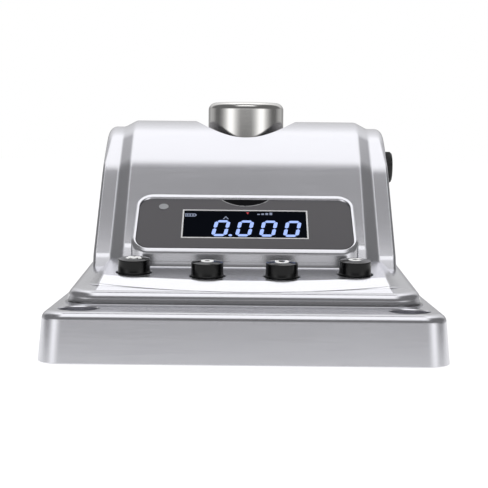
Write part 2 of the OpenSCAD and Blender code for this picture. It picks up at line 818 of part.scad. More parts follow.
module battery_strap() color("silver") translate([0, strap_y, tray_floor_t]) difference() {
    union() {
        translate([-cradle_w / 2 - strap_t, -strap_w / 2, 0])
            cube([cradle_w + 2 * strap_t, strap_w, cradle_t + 2 * cell_r + strap_t]);
        translate([-cradle_w / 2 - strap_foot, -strap_w / 2, 0])
            cube([cradle_w + 2 * strap_foot, strap_w, strap_t]);
    }
    translate([-cradle_w / 2, -strap_w / 2 - over, -over])
        cube([cradle_w, strap_w + 2 * over, cradle_t + 2 * cell_r + over]);
    for (x = [-1, 1]) translate([x * strap_foot_x, 0, -over])
        cylinder(r = strap_screw_r + fit_gap, h = strap_t + 2 * over);
}

module strap_screws() color("silver") for (x = [-1, 1])
    translate([x * strap_foot_x, strap_y, tray_floor_t]) {
        translate([0, 0, strap_t]) cylinder(r = pan_head_r, h = pan_head_t);
        translate([0, 0, fit_gap - strap_hole_depth])
            cylinder(r = strap_screw_r, h = strap_hole_depth + strap_t + pan_head_t - fit_gap);
    }

// The post: a turned head with a rounded top edge, a square socket and a spigot
module measuring_post() color("silver") translate([0, post_y, 0]) difference() {
    union() {
        translate([0, 0, post_foot_h]) cylinder(r = post_r, h = post_top_h - post_edge_r - post_foot_h);
        translate([0, 0, post_top_h - post_edge_r]) rotate_extrude() {
            square([post_r - post_edge_r, post_edge_r]);
            translate([post_r - post_edge_r, 0]) intersection() {
                circle(post_edge_r);
                square(post_edge_r);
            }
        }
        translate([0, 0, post_foot_h - spigot_l]) cylinder(r = spigot_r, h = spigot_l + over);
    }
    translate([-socket_side / 2, -socket_side / 2, post_top_h - socket_depth])
        cube([socket_side, socket_side, socket_depth + over]);
    translate([0, 0, post_top_h - socket_lead])
        rotate(45) cylinder(r1 = socket_side / sqrt(2),
                            r2 = (socket_side / 2 + socket_lead) * sqrt(2), h = socket_lead, $fn = 4);
}

module torque_cell() color("gray") translate([0, post_y, 0]) difference() {
    union() {
        translate([0, 0, deck_h]) cylinder(r = cell_flange_r, h = cell_flange_t);
        translate([-cell_side / 2, -cell_side / 2, deck_h])
            cube([cell_side, cell_side, post_foot_h - hub_t / 2 - deck_h]);
        translate([0, 0, post_foot_h - hub_t]) cylinder(r = hub_r, h = hub_t);
    }
    translate([0, 0, post_foot_h - spigot_l - spigot_gap])
        cylinder(r = spigot_r + fit_gap, h = spigot_l + spigot_gap + over);
    for (i = [0:set_screw_count - 1]) rotate(i * 360 / set_screw_count)
        translate([spigot_r, 0, post_foot_h - spigot_l / 2]) rotate([0, 90, 0])
            cylinder(r = set_screw_r + fit_gap, h = hub_r);
    for (i = [0:cell_screw_count - 1]) rotate(45 + i * 360 / cell_screw_count)
        translate([cell_screw_pcr, 0, deck_h - over])
            cylinder(r = cell_screw_r + fit_gap, h = cell_grip + over);
}

module strain_gauges() color("orange")
    translate([0, post_y, (deck_h + cell_flange_t + post_foot_h - hub_t) / 2])
        for (i = [0:3]) rotate(i * 90)
            translate([cell_side / 2, -gauge_w / 2, -gauge_l / 2]) cube([gauge_t, gauge_w, gauge_l]);

module cell_screws() color("dimgray") at_cell_screws() {
    translate([0, 0, cell_head_recess]) difference() {
        cylinder(r = cell_head_r, h = cell_head_t);
        translate([0, 0, -over])
            cylinder(r = cell_head_r / 2, h = cell_head_t / 2 + over, $fn = 6);
    }
    translate([0, 0, cell_head_recess + cell_head_t - skin])
        cylinder(r = cell_screw_r,
                 h = deck_h + cell_grip - fit_gap + skin - cell_head_recess - cell_head_t);
}

module post_set_screws() color("dimgray") for (i = [0:set_screw_count - 1])
    translate([0, post_y, post_foot_h - spigot_l / 2]) rotate(i * 360 / set_screw_count)
        translate([spigot_r + fit_gap, 0, 0]) rotate([0, 90, 0]) difference() {
            cylinder(r = set_screw_r, h = set_screw_l);
            translate([0, 0, set_screw_l / 2]) cylinder(r = set_screw_r / 2, h = set_screw_l, $fn = 6);
        }

// Faces a turned piece outwards along X at the knob's centre
module at_knob(x) {
    translate([body_w / 2 + x, knob_y, knob_z]) rotate([0, 90, 0]) children();
}

module zero_knob() color([0.06, 0.06, 0.06]) at_knob(knob_gap) difference() {
    union() {
        cylinder(d = knob_d, h = knob_t - knob_edge_r);
        translate([0, 0, knob_t - knob_edge_r]) rotate_extrude() {
            square([knob_d / 2 - knob_edge_r, knob_edge_r]);
            translate([knob_d / 2 - knob_edge_r, 0]) intersection() {
                circle(knob_edge_r);
                square(knob_edge_r);
            }
        }
    }
    translate([0, 0, -over]) cylinder(r = knob_hollow_r, h = knob_hollow_t + over);
    translate([0, 0, -over]) cylinder(r = shaft_r, h = knob_t - shaft_cover_t + over);
}

module knob_shaft() color("silver") at_knob(-wall_t - shaft_inner_l)
    cylinder(r = shaft_r, h = shaft_inner_l + wall_t + knob_gap + knob_t - shaft_cover_t);

module potentiometer() color("dimgray") at_knob(-wall_t) difference() {
    union() {
        translate([0, 0, -pot_l]) cylinder(r = pot_r, h = pot_l);
        cylinder(r = bush_r, h = bush_l);
    }
    translate([0, 0, -shaft_inner_l - free_gap])
        cylinder(r = shaft_r + fit_gap, h = shaft_inner_l + free_gap + bush_l + over);
}

module potentiometer_nut() color("silver") at_knob(0) difference() {
    cylinder(r = nut_r, h = nut_t, $fn = 6);
    translate([0, 0, -over]) cylinder(r = bush_r + fit_gap, h = nut_t + 2 * over);
}

// Faces a turned piece outwards along Y at the jack's centre
module at_jack(y) {
    translate([jack_x, rear_y + y, jack_z]) rotate([-90, 0, 0]) children();
}

module charge_jack() color([0.1, 0.1, 0.1]) at_jack(0) difference() {
    union() {
        translate([0, 0, -jack_body_l]) cylinder(r = jack_body_r, h = jack_body_l);
        cylinder(r = jack_flange_r, h = jack_flange_t);
    }
    translate([0, 0, jack_flange_t - jack_bore_l]) cylinder(r = jack_bore_r, h = jack_bore_l + over);
}

module charge_jack_nut() color("silver") at_jack(-wall_t - jack_nut_t) difference() {
    cylinder(r = jack_nut_r, h = jack_nut_t, $fn = 6);
    translate([0, 0, -over]) cylinder(r = jack_body_r + fit_gap, h = jack_nut_t + 2 * over);
}

module data_port() color("gainsboro") difference() {
    translate([port_x - port_w / 2, port_board_y, port_z - port_h / 2])
        cube([port_w, port_stand_l + wall_t + port_proud, port_h]);
    difference() {
        translate([port_x - port_w / 2 + port_shell_t, rear_y + port_proud - port_hollow_l,
                   port_z - port_h / 2 + port_shell_t])
            cube([port_w - 2 * port_shell_t, port_hollow_l + over, port_h - 2 * port_shell_t]);
        translate([port_x - tongue_w / 2, port_board_y, port_z - tongue_h / 2])
            cube([tongue_w, port_stand_l + wall_t + port_proud - tongue_recess, tongue_h]);
    }
}

module at_port_stands(y) {
    for (x = [-1, 1])
        translate([port_x + x * port_stand_x, y, port_z]) rotate([-90, 0, 0]) children();
}

module port_board() color("darkgreen") difference() {
    translate([port_x - port_board_w / 2, port_board_y - board_t, port_z - port_board_h / 2])
        cube([port_board_w, board_t, port_board_h]);
    at_port_stands(port_board_y - board_t - over)
        cylinder(r = port_screw_r + fit_gap, h = board_t + 2 * over);
}

module port_standoffs() color("gold") at_port_stands(port_board_y) difference() {
    cylinder(r = port_stand_r, h = port_stand_l);
    translate([0, 0, -over]) cylinder(r = port_screw_r + fit_gap, h = port_screw_grip + over);
}

module port_screws() color("silver") at_port_stands(port_board_y - board_t) {
    translate([0, 0, -pan_head_t]) cylinder(r = pan_head_r, h = pan_head_t);
    cylinder(r = port_screw_r, h = board_t + port_screw_grip - fit_gap);
}

module display_ribbon() color("lightgray")
    let (y = main_board_y - main_board_l / 2 + ribbon_run, z = main_board_z + board_t)
    upright(ribbon_x, ribbon_w,
            [[y, z], [y + ribbon_t, z], [y + ribbon_t, display_under_z(y + ribbon_t)],
             [y, display_under_z(y)]]);

module button_ribbon() color("lightgray")
    let (back = button_row + button_board_shift + button_board_l / 2,
         a = boss_point(back - key_ribbon_land, -switch_back), b = boss_point(back, -switch_back),
         z = main_board_z + board_t, c = [b.x + key_ribbon_rise, z],
         d = [main_board_y - main_board_l / 2 + key_ribbon_land, z], up = [0, ribbon_t])
    upright(key_ribbon_x, key_ribbon_w, [a, b, c, d, d + up, c + up, b + up, a + up]);

base_casting();
upper_housing();
housing_screws();
display_panel();
lcd_frame();
lcd_lens();
lcd_module();
display_board();
display_board_screws();
status_lamp();
mode_button();
power_button();
unit_button();
clear_button();
mode_plunger();
power_plunger();
unit_plunger();
clear_plunger();
tact_switches();
button_board();
button_board_screws();
main_board();
board_components();
board_standoffs();
board_screws();
battery_cradle();
battery_cells();
battery_strap();
strap_screws();
measuring_post();
torque_cell();
strain_gauges();
cell_screws();
post_set_screws();
zero_knob();
knob_shaft();
potentiometer();
potentiometer_nut();
charge_jack();
charge_jack_nut();
data_port();
port_board();
port_standoffs();
port_screws();
display_ribbon();
button_ribbon();
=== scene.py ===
# %% [markdown]
# # A bench-top digital torque tester
# A driver is pushed into the bright post and twisted, and the display shows the torque.
# The solids of the part are already made, so this lesson dresses them: it makes the
# castings smooth, gives every surface a finish, and sets up a small photo studio.

# %% Load the solids
import bpy, bmesh, json
from math import asin, cos, degrees, pi, radians, sin, sqrt, tan
from mathutils import Vector, Matrix

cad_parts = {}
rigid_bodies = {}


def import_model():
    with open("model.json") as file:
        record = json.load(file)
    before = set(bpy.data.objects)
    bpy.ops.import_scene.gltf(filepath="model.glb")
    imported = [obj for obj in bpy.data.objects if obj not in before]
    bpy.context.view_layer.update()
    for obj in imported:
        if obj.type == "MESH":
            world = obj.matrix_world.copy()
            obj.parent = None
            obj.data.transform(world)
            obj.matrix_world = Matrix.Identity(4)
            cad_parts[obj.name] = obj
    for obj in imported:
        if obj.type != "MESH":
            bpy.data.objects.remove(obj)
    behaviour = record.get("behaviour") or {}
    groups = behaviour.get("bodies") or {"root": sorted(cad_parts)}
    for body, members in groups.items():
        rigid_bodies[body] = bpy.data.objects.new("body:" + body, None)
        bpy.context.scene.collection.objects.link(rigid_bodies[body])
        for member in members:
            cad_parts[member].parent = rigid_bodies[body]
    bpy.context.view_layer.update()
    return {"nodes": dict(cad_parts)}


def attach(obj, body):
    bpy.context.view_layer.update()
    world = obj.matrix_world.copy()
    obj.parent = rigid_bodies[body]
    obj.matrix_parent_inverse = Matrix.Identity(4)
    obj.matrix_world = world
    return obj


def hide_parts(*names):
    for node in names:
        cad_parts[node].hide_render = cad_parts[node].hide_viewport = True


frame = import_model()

# %% [markdown]
# ## The camera
# The photograph was taken from close to the bench with a long lens, so upright edges stay
# almost parallel. Its bench line isn't quite level, so the camera is rolled a little.

# %% Camera
MM = 0.001
PITCH, ROLL = radians(4.05), radians(0.58)
SENSOR, FOCAL_PIXELS, PHOTO_PIXELS = 36, 1300, 488
forward = Vector((0, cos(PITCH), -sin(PITCH)))
level, upward = Vector((1, 0, 0)), Vector((0, sin(PITCH), cos(PITCH)))
right = cos(ROLL) * level + sin(ROLL) * upward
up = cos(ROLL) * upward - sin(ROLL) * level
lens = bpy.data.cameras.new("photo_camera")
lens.sensor_width, lens.lens = SENSOR, SENSOR * FOCAL_PIXELS / PHOTO_PIXELS
lens.clip_start, lens.clip_end = 0.01, 50
camera = bpy.data.objects.new("photo_camera", lens)
bpy.context.collection.objects.link(camera)
camera.matrix_world = Matrix((right, up, -forward)).transposed().to_4x4()
camera.location = (-0.0003, -0.538, 0.0718)
bpy.context.scene.camera = camera
print("lens", round(lens.lens, 1), "mm, camera at", tuple(round(v, 4) for v in camera.location))

# %% [markdown]
# ## Helpers for meshes
# Lengths are in millimetres here, and become metres when a mesh is made. Rings of points
# joined by quads make a loft, outline by outline, as a pattern maker thinks of a casting.
# Turned parts are a profile swept round an axis, and booleans do what cutters do.

# %% Mesh helpers
WELD, SLIVER = 1e-6, 1e-7

def shift(x, y, z):
    return Matrix.Translation((x, y, z))

def turn(degrees, axis):
    return Matrix.Rotation(radians(degrees), 4, axis)

def arc(count, start=0, end=90):
    return [radians(start + (end - start) * i / count) for i in range(count + 1)]

def rounded_outline(w, l, r, cy=0, steps=10):
    """Points round a rectangle with round corners, seen from above."""
    return [(cx * (w / 2 - r) + r * cos(a), cy + sy * (l / 2 - r) + r * sin(a))
            for cx, sy, start in ((1, 1, 0), (-1, 1, 90), (-1, -1, 180), (1, -1, 270))
            for a in arc(steps, start, start + 90)]

def raised(outline, height):
    """A ring from an outline and a height, which may be a function of y."""
    return [(x, y, height(y) if callable(height) else height) for x, y in outline]

def new_piece(name, verts, faces, angle=30):
    """A closed mesh from points in millimetres, facing outwards, smooth up to an angle."""
    mesh = bpy.data.meshes.new(name)
    mesh.from_pydata([Vector(v) * MM for v in verts], [], faces)
    obj = bpy.data.objects.new(name, mesh)
    bpy.context.collection.objects.link(obj)
    tidy_mesh(obj, angle)
    return obj

def tidy_mesh(obj, angle):
    """Welds equal points, turns the faces outwards and keeps only the sharp edges hard."""
    bm = bmesh.new()
    bm.from_mesh(obj.data)
    bmesh.ops.remove_doubles(bm, verts=bm.verts, dist=WELD)
    bmesh.ops.dissolve_degenerate(bm, edges=bm.edges, dist=SLIVER)
    bmesh.ops.recalc_face_normals(bm, faces=bm.faces)
    bm.to_mesh(obj.data)
    bm.free()
    for face in obj.data.polygons:
        face.use_smooth = True
    obj.data.set_sharp_from_angle(angle=radians(angle))

def loft(name, rings, angle=30):
    """Quads between rings of equal length, with both ends closed."""
    n, verts = len(rings[0]), [p for ring in rings for p in ring]
    faces = [(k * n + i, k * n + (i + 1) % n, (k + 1) * n + (i + 1) % n, (k + 1) * n + i)
             for k in range(len(rings) - 1) for i in range(n)]
    faces += [tuple(range(n))[::-1], tuple(range(len(verts) - n, len(verts)))]
    return new_piece(name, verts, faces, angle)

def lathe(name, profile, steps=96, place=Matrix(), angle=30):
    """Turns a profile of (radius, height) points about the local Z axis, then places it."""
    verts, faces, rows = [], [], []
    for r, h in profile:
        count = steps if r > 0 else 1
        rows.append(range(len(verts), len(verts) + count))
        for i in range(count):
            a = 2 * pi * i / steps
            verts.append(place @ Vector((r * cos(a), r * sin(a), h)))
    for low, high in zip(rows, rows[1:]):
        for i in range(steps):
            j = (i + 1) % steps
            corners = (low[i % len(low)], low[j % len(low)], high[j % len(high)], high[i % len(high)])
            faces.append(tuple(dict.fromkeys(corners)))
    return new_piece(name, verts, faces, angle)

def rod(r, low, high, place=Matrix(), steps=48):
    """A plain round tool, for a hole or for what is left standing in a hollow."""
    return lathe("tool", [(0, low), (r, low), (r, high), (0, high)], steps, place)

def block(name, low, high, place=Matrix()):
    verts = [place @ Vector((x, y, z)) for x in (low[0], high[0]) for y in (low[1], high[1])
             for z in (low[2], high[2])]
    faces = [(0, 1, 3, 2), (4, 6, 7, 5), (0, 4, 5, 1), (2, 3, 7, 6), (0, 2, 6, 4), (1, 5, 7, 3)]
    return new_piece(name, verts, faces)

def bake_modifiers(obj):
    """Turns the modifiers' result into the piece's own plain mesh."""
    bpy.context.view_layer.update()
    shown = obj.evaluated_get(bpy.context.evaluated_depsgraph_get())
    result = bpy.data.meshes.new_from_object(shown)
    obj.modifiers.clear()
    obj.data = result

def carve(obj, tools, operation="DIFFERENCE", angle=30):
    """Adds or cuts other closed pieces, one by one, and then drops them."""
    for tool in tools:
        cut = obj.modifiers.new("cut", "BOOLEAN")
        cut.operation, cut.object, cut.solver = operation, tool, "MANIFOLD"
        bake_modifiers(obj)
        bpy.data.objects.remove(tool)
    tidy_mesh(obj, angle)

def even_shading(obj):
    """Lets large flat faces keep their normal, so that only the roundings shade softly."""
    obj.modifiers.new("even", "WEIGHTED_NORMAL").keep_sharp = True
    bake_modifiers(obj)

def place_mesh(obj, place):
    """Carries a piece that was made at the origin to its place, inside its mesh."""
    metres = place.copy()
    metres.translation *= MM
    obj.data.transform(metres)
print("mesh helpers ready")

# %% [markdown]
# ## Helpers for nodes
# Geometry trees and materials are both built from nodes. One tree at a time lies on the
# desk, and one helper adds a node to it, sets it and links it, so that a tree reads as a
# short list. Group sockets get plain names.

# %% Node helpers
desk = {}

def link(source, target):
    """Links a socket, or the first output of a node."""
    desk["tree"].links.new(source.outputs[0] if isinstance(source, bpy.types.Node) else source, target)

def put(kind, sets=None, **inputs):
    """Adds a node; ShaderNode is left off its kind; inputs go by name with _ for a space,
    or by number as _0, _1."""
    node = desk["tree"].nodes.new(kind if kind.startswith("GeometryNode") else "ShaderNode" + kind)
    for key, value in (sets or {}).items():
        setattr(node, key, value)
    for key, value in inputs.items():
        socket = node.inputs[int(key[1:])] if key[0] == "_" else node.inputs[key.replace("_", " ")]
        if isinstance(value, (bpy.types.Node, bpy.types.NodeSocket)):
            link(value, socket)
        else:
            socket.default_value = value
    return node

def maths(operation, *values):
    numbered = {"_" + str(i): value for i, value in enumerate(values)}
    return put("Math", {"operation": operation}, **numbered)

def times(a, b):
    return maths("MULTIPLY", a, b)

def times_plus(a, b, c):
    return maths("MULTIPLY_ADD", a, b, c)

def blank_tree(owner):
    """Lays the emptied tree of a material or of the world on the desk."""
    owner.use_nodes = True
    owner.node_tree.nodes.clear()
    desk["tree"] = owner.node_tree

def new_tree(name, kind, inputs, outputs):
    """A node group with named sockets: (label, type, value) in, (label, type) out."""
    tree = desk["tree"] = bpy.data.node_groups.new(name, kind)
    for label, socket, value in inputs:
        made = tree.interface.new_socket(name=label, in_out="INPUT", socket_type="NodeSocket" + socket)
        if value is not None:
            made.default_value = value
    for label, socket in outputs:
        tree.interface.new_socket(name=label, in_out="OUTPUT", socket_type="NodeSocket" + socket)
    return tree, tree.nodes.new("NodeGroupInput").outputs, tree.nodes.new("NodeGroupOutput").inputs

def end_tree(instances, material, out):
    """The last steps of a geometry tree: plain geometry with a material of its own."""
    real = put("GeometryNodeRealizeInstances", Geometry=instances)
    link(put("GeometryNodeSetMaterial", Geometry=real, Material=material), out)

def grow(obj, tree, **values):
    """Runs a geometry tree on a piece and keeps the result as a plain mesh."""
    modifier = obj.modifiers.new(tree.name, "NODES")
    modifier.node_group = tree
    sockets = {s.name: s.identifier for s in tree.interface.items_tree if s.in_out == "INPUT"}
    for label, value in values.items():
        modifier[sockets[label.replace("_", " ")]] = value
    bake_modifiers(obj)
print("node helpers ready")

# %% [markdown]
# ## Sizes that the pieces share
# These are the sizes of the solids. The button panel and the display each lie in a tilted
# plane, and two matrices carry points into those planes.

# %% Shared sizes
BASE_W, BASE_L, BASE_H, DECK = 141.2, 210, 17.4, 17.8
PLINTH_W, PLINTH_L, PLINTH_R, PLINTH_EDGE = 127.6, 164.4, 11.6, 3.0
CREST_H, CREST_R, REAR_R, REAR_Y, CREASE_H = 85.4, 31, 32.9, 79.4, 66.9
BODY_W, FACE_HALF, BEVEL, EAR_STEP, WALL = 121.2, 48.4, 5.2, 2.8, 2.8
FACE_SLOPE, TOP_SLOPE, SKIRT = radians(44.8), radians(38.7), radians(62)
CREST_Y = REAR_Y - REAR_R
TANGENT_Z = CREST_H - CREST_R * (1 - cos(TOP_SLOPE))
CREASE_Y = CREST_Y - CREST_R * sin(TOP_SLOPE) - (TANGENT_Z - CREASE_H) / tan(TOP_SLOPE)
FACE_FOOT, EAR_FOOT = DECK + 16.4, DECK + 12.4

def foot_y(inset, h):
    return CREASE_Y + inset / sin(FACE_SLOPE) - (CREASE_H - h) / tan(FACE_SLOPE)

BOSS_TILT, PANEL_TILT = 6.4, 32
PLINTH_Y, PLINTH_TOP, PLINTH_TAN = -82.2, DECK + 4.3, tan(radians(3.56))
BOSS_Y, BOSS_TAN, BOSS_W = -79.8, tan(radians(BOSS_TILT)), 106
BOSS_Z = PLINTH_TOP + 2.4 * PLINTH_TAN + 0.17
BOX_Y, BOX_L, BOX_W, BOX_R = foot_y(0, FACE_FOOT) - 16.5, 33.5, 89.1, 7.2
PANEL_TAN, PANEL_COS = tan(radians(PANEL_TILT)), cos(radians(PANEL_TILT))

def plinth_z(y):
    return PLINTH_TOP + (y - PLINTH_Y) * PLINTH_TAN

def boss_z(y):
    return BOSS_Z + (y - BOSS_Y) * BOSS_TAN

PANEL_Z, PANEL_L = boss_z(BOX_Y) + 5.8, BOX_L / PANEL_COS

def panel_z(y):
    return PANEL_Z + (y - BOX_Y) * PANEL_TAN

on_boss = shift(0, BOSS_Y, BOSS_Z) @ turn(BOSS_TILT, "X")
on_panel = shift(0, BOX_Y, PANEL_Z) @ turn(PANEL_TILT, "X")
POST_Y, POST_TOP, WELL_FLOOR = CREST_Y + 2.5, 93.7, CREST_H - 12.7
at_knob = shift(BODY_W / 2, CREST_Y - 14.5, CREST_H - 19.7) @ turn(90, "Y")
BUTTONS = ["mode", "power", "unit", "clear"]
BUTTON_PITCH, BUTTON_V, ROW_R = 27.9, 26.6, 150
BUTTON_SPOTS = [(x, BUTTON_V + ROW_R - sqrt(ROW_R ** 2 - x * x))
                for x in [(i - 1.5) * BUTTON_PITCH for i in range(4)]]
SCREW_SPOTS = [(x, y) for x in (-59.1, 59.1) for y in (-60.006, 6.576, 65.76)]
LAMP_X, LAMP_V, LAMP_R = 11.55 - BOX_W / 2, PANEL_L / 2 + 11, 2.0
print("crease at y", round(CREASE_Y, 1), "face foot at y", round(foot_y(0, FACE_FOOT), 1))

# %% [markdown]
# ## The base flange
# The flange is cast in one piece, with draft on its sides, a rounded upper edge and a
# machined land for the housing. It is lofted from its outline. The bolt holes, with a
# small bevel at their mouths, the tray and the screw holes from below are then cut.

# %% Base flange
BASE_R, BASE_DRAFT, BASE_EDGE = 9, 1.2, 3

def base_ring(inset, z):
    return raised(rounded_outline(BASE_W - 2 * inset, BASE_L - 2 * inset, BASE_R - inset / 2), z)

rings = [base_ring(0.3, 0), base_ring(0, 0.3)]
rings += [base_ring(BASE_DRAFT + BASE_EDGE * (1 - cos(a)), BASE_H - BASE_EDGE * (1 - sin(a)))
          for a in arc(12)]
base = loft("base_flange", rings)
land = [raised(rounded_outline(PLINTH_W + 1.6 - 2 * i, PLINTH_L + 1.6 - 2 * i, 12.4 - i), z)
        for z, i in ((BASE_H - 1, 0), (DECK - 0.15, 0), (DECK, 0.15))]
carve(base, [loft("land", land)], "UNION")

# %% Holes in the base flange
BOLT_X, BOLT_Y, CELL_SCREW = 57.2, 91.6, 11.455
floor_z, lip_z = BASE_H - 9, BASE_H - 0.35
bolt_profile = [(0, -1), (4.5, -1), (4.5, floor_z - 0.4), (4.9, floor_z), (7, floor_z), (7, lip_z),
                (7.35, BASE_H + 0.02), (7.35, BASE_H + 2), (0, BASE_H + 2)]

def from_below(head, depth, hole, x, y):
    """A screw's hole with a wider part for its head."""
    top = DECK + 2
    profile = [(0, -1), (head, -1), (head, depth), (hole, depth), (hole, top), (0, top)]
    return lathe("tool", profile, 48, shift(x, y, 0))

cuts = [lathe("tool", bolt_profile, 96, shift(x, y, 0)) for x in (-BOLT_X, BOLT_X) for y in (-BOLT_Y, BOLT_Y)]
cuts.append(loft("tool", [raised(rounded_outline(110.6, 96, 5, -25.2), z) for z in (5, DECK + 3)]))
cuts += [from_below(4.1, 3.4, 2.3, x, y) for x, y in SCREW_SPOTS]
cuts += [from_below(4.55, 5.4, 2.8, x, POST_Y + y)
         for x in (-CELL_SCREW, CELL_SCREW) for y in (-CELL_SCREW, CELL_SCREW)]
cuts += [rod(1.55, 1, 7, shift(x, -22.35, 0), 24) for x in (-42.45, 42.45)]
carve(base, cuts)
even_shading(base)
print("base flange:", len(base.data.polygons), "faces")

# %% [markdown]
# ## The housing's side view
# The body is one list of points, seen from the side: foot, face, crease, crest and rear
# wall. Moved inwards by an inset, the same list gives the ears beside the raised face,
# and later the hollow. Its corners are eased, as a casting's are.

# %% Side view of the body
CREASE_REACH, FOOT_REACH = 3.2, 1.2

def softened(before, corner, after, reach, steps=4):
    """Replaces a corner by a short curve between two points that lie reach away."""
    c = Vector(corner)
    a = c + (Vector(before) - c).normalized() * reach
    b = c + (Vector(after) - c).normalized() * reach
    return [tuple((1 - t) ** 2 * a + 2 * t * (1 - t) * c + t * t * b)
            for t in [i / steps for i in range(steps + 1)]]

def side_view(inset, foot_h, low=DECK):
    half = (TOP_SLOPE + FACE_SLOPE) / 2
    reach = inset / cos((FACE_SLOPE - TOP_SLOPE) / 2)
    crease = (CREASE_Y + reach * sin(half), CREASE_H - reach * cos(half))
    foot = (foot_y(inset, foot_h), foot_h)
    toe = (foot[0] - (foot_h - low) / tan(SKIRT), low)
    front = [(CREST_Y - (CREST_R - inset) * sin(a), CREST_H - CREST_R + (CREST_R - inset) * cos(a))
             for a in [TOP_SLOPE * (1 - i / 20) for i in range(21)]]
    rear = [(CREST_Y + (REAR_R - inset) * sin(a), CREST_H - REAR_R + (REAR_R - inset) * cos(a))
            for a in arc(24)[1:]]
    return ([toe] + softened(toe, foot, crease, FOOT_REACH) + softened(foot, crease, front[0], CREASE_REACH)
            + front + rear + [(REAR_Y - inset, low)])

def eased_step(x, y0, y1, soft=0.9):
    """The slanted step from the face to an ear, with both of its corners eased."""
    t, ease, rise = (x - FACE_HALF) / BEVEL, soft / BEVEL, y1 - y0
    if t < -ease or t > 1 + ease:
        return y0 if t < 0 else y1
    if t < ease:
        return y0 + rise * (t + ease) ** 2 / (4 * ease)
    if t > 1 - ease:
        return y1 - rise * (1 + ease - t) ** 2 / (4 * ease)
    return y0 + rise * t

# %% Body with a raised face and two ears
EAR_R_LOW, EAR_R_TOP, EAR_R_FROM, EAR_R_OVER = 1.4, 3.4, 68, 11
slices = []
near_corner = (-0.9, -0.6, -0.3, 0, 0.3, 0.6, 0.9)
for x in [0, 24, 44] + [FACE_HALF + side + d for side in (0, BEVEL) for d in near_corner]:
    inset, foot = eased_step(x, 0, EAR_STEP), eased_step(x, FACE_FOOT, EAR_FOOT)
    slices.append([(x, y, z) for y, z in side_view(inset, foot)])
for a in arc(9, 90, 0):
    points = []
    for k, (y, z) in enumerate(side_view(EAR_STEP, EAR_FOOT)):
        share = min(1, max(0, (z - EAR_R_FROM) / EAR_R_OVER))
        r = EAR_R_LOW + (EAR_R_TOP - EAR_R_LOW) * share * share * (3 - 2 * share)
        inner = side_view(EAR_STEP + r * (1 - sin(a)), EAR_FOOT)[k]
        points.append((BODY_W / 2 - r * (1 - cos(a)), *inner))
    slices.append(points)
slices = [[(-x, y, z) for x, y, z in s] for s in slices[:0:-1]] + slices
housing = loft("body_block", slices, 40)
print("body:", len(housing.data.polygons), "faces")

# %% [markdown]
# ## Plinth, button panel and display box
# These three forms overlap the body as they do in the casting. The plinth and the box
# are lofts of a rounded outline, with a ring for each step of the edge's rounding. The
# button panel has a curved front, and the box has a rim round a shallow pocket.

# %% Three more blocks, joined
BOSS_R, BOX_LIP, LIP_R = 121.6, 0.6, 0.2
RIM_SIDE, RIM_FRONT, RIM_REAR = 1.8, 1.2, 2.5

def plinth_outline(inset):
    return rounded_outline(PLINTH_W - 2 * inset, PLINTH_L - 2 * inset, PLINTH_R - inset)

def plinth_ring(inset, drop):
    return raised(plinth_outline(inset), lambda y: plinth_z(y) - drop)

rings = [raised(plinth_outline(inset), DECK + rise)
         for rise, inset in ((0, 1.5), (0.3, 1.5), (0.38, 0.12), (0.5, 0))]
rings += [plinth_ring(0.4 + PLINTH_EDGE * (1 - cos(a)), PLINTH_EDGE * (1 - sin(a)))
          for a in arc(10)]
plinth = loft("plinth_block", rings)

def boss_ring(w, front, height, z_of, n=32):
    points = [(x, BOSS_Y - front + BOSS_R - sqrt(BOSS_R ** 2 - x * x))
              for x in [i / n * w / 2 for i in range(-n, n + 1)]]
    return raised(points + [(w / 2, 0), (-w / 2, 0)], lambda y: z_of(y) + height)

boss = loft("boss_block", [boss_ring(BOSS_W + wider, front, height, z_of) for wider, front, height, z_of in (
    (8.6, 0.2, -1.2, plinth_z), (8.6, 0.2, -0.02, plinth_z), (1.0, 0.12, -0.22, boss_z),
    (0.4, 0.05, -0.06, boss_z), (-0.4, -0.35, 0, boss_z))])

def box_outline(side, front, rear):
    return rounded_outline(BOX_W - 2 * side, BOX_L - front - rear, max(BOX_R - side, 1),
                           BOX_Y + (BOX_L + front - rear) / 2, 12)

def box_ring(lift, side, front, rear):
    return raised(box_outline(side, front, rear), lambda y: panel_z(y) + lift / PANEL_COS)

def foot_ring(flare, rise):
    return raised(box_outline(-flare, -flare, -flare), lambda y: boss_z(y) + rise)

# flare and rise of the cove at the foot, then drop and inset of the rim's eased edge
COVE = [(0.48, 0), (0.38, 0.1), (0.32, 0.26), (0.24, 0.55), (0.16, 0.9), (0.09, 1.3), (0.04, 1.8), (0, 2.4)]
EDGE = [(1.4, 0), (1.15, 0.02), (0.97, 0.055), (0.83, 0.1), (0.72, 0.16), (0.62, 0.24), (0.51, 0.35),
        (0.39, 0.48), (0.28, 0.61), (0.18, 0.73), (0.1, 0.83), (0.04, 0.92), (0, 0.98)]
rings = [raised(box_outline(-0.48, -0.48, -0.48), DECK + 3)]
rings += [foot_ring(flare, rise) for flare, rise in COVE]
rings += [box_ring(BOX_LIP - drop, inset, inset, inset) for drop, inset in EDGE]
lips = [(BOX_LIP - LIP_R * (1 - sin(a)), LIP_R * cos(a)) for a in arc(4, 90, 0)] + [(-1.2, LIP_R)]
rings += [box_ring(lift, RIM_SIDE - LIP_R + d, RIM_FRONT - LIP_R + d, RIM_REAR - LIP_R + d)
          for lift, d in lips]
box = loft("display_box", rings)
carve(housing, [plinth, boss, box], "UNION", 40)
print("housing outside:", len(housing.data.polygons), "faces")

# %% [markdown]
# ## The hollow inside the housing
# A casting has walls of even thickness, so the hollow is the same forms again, moved in
# by the wall. The tube of the well and the screw bosses are taken away from the hollow,
# which leaves them standing when the hollow is cut from the housing.

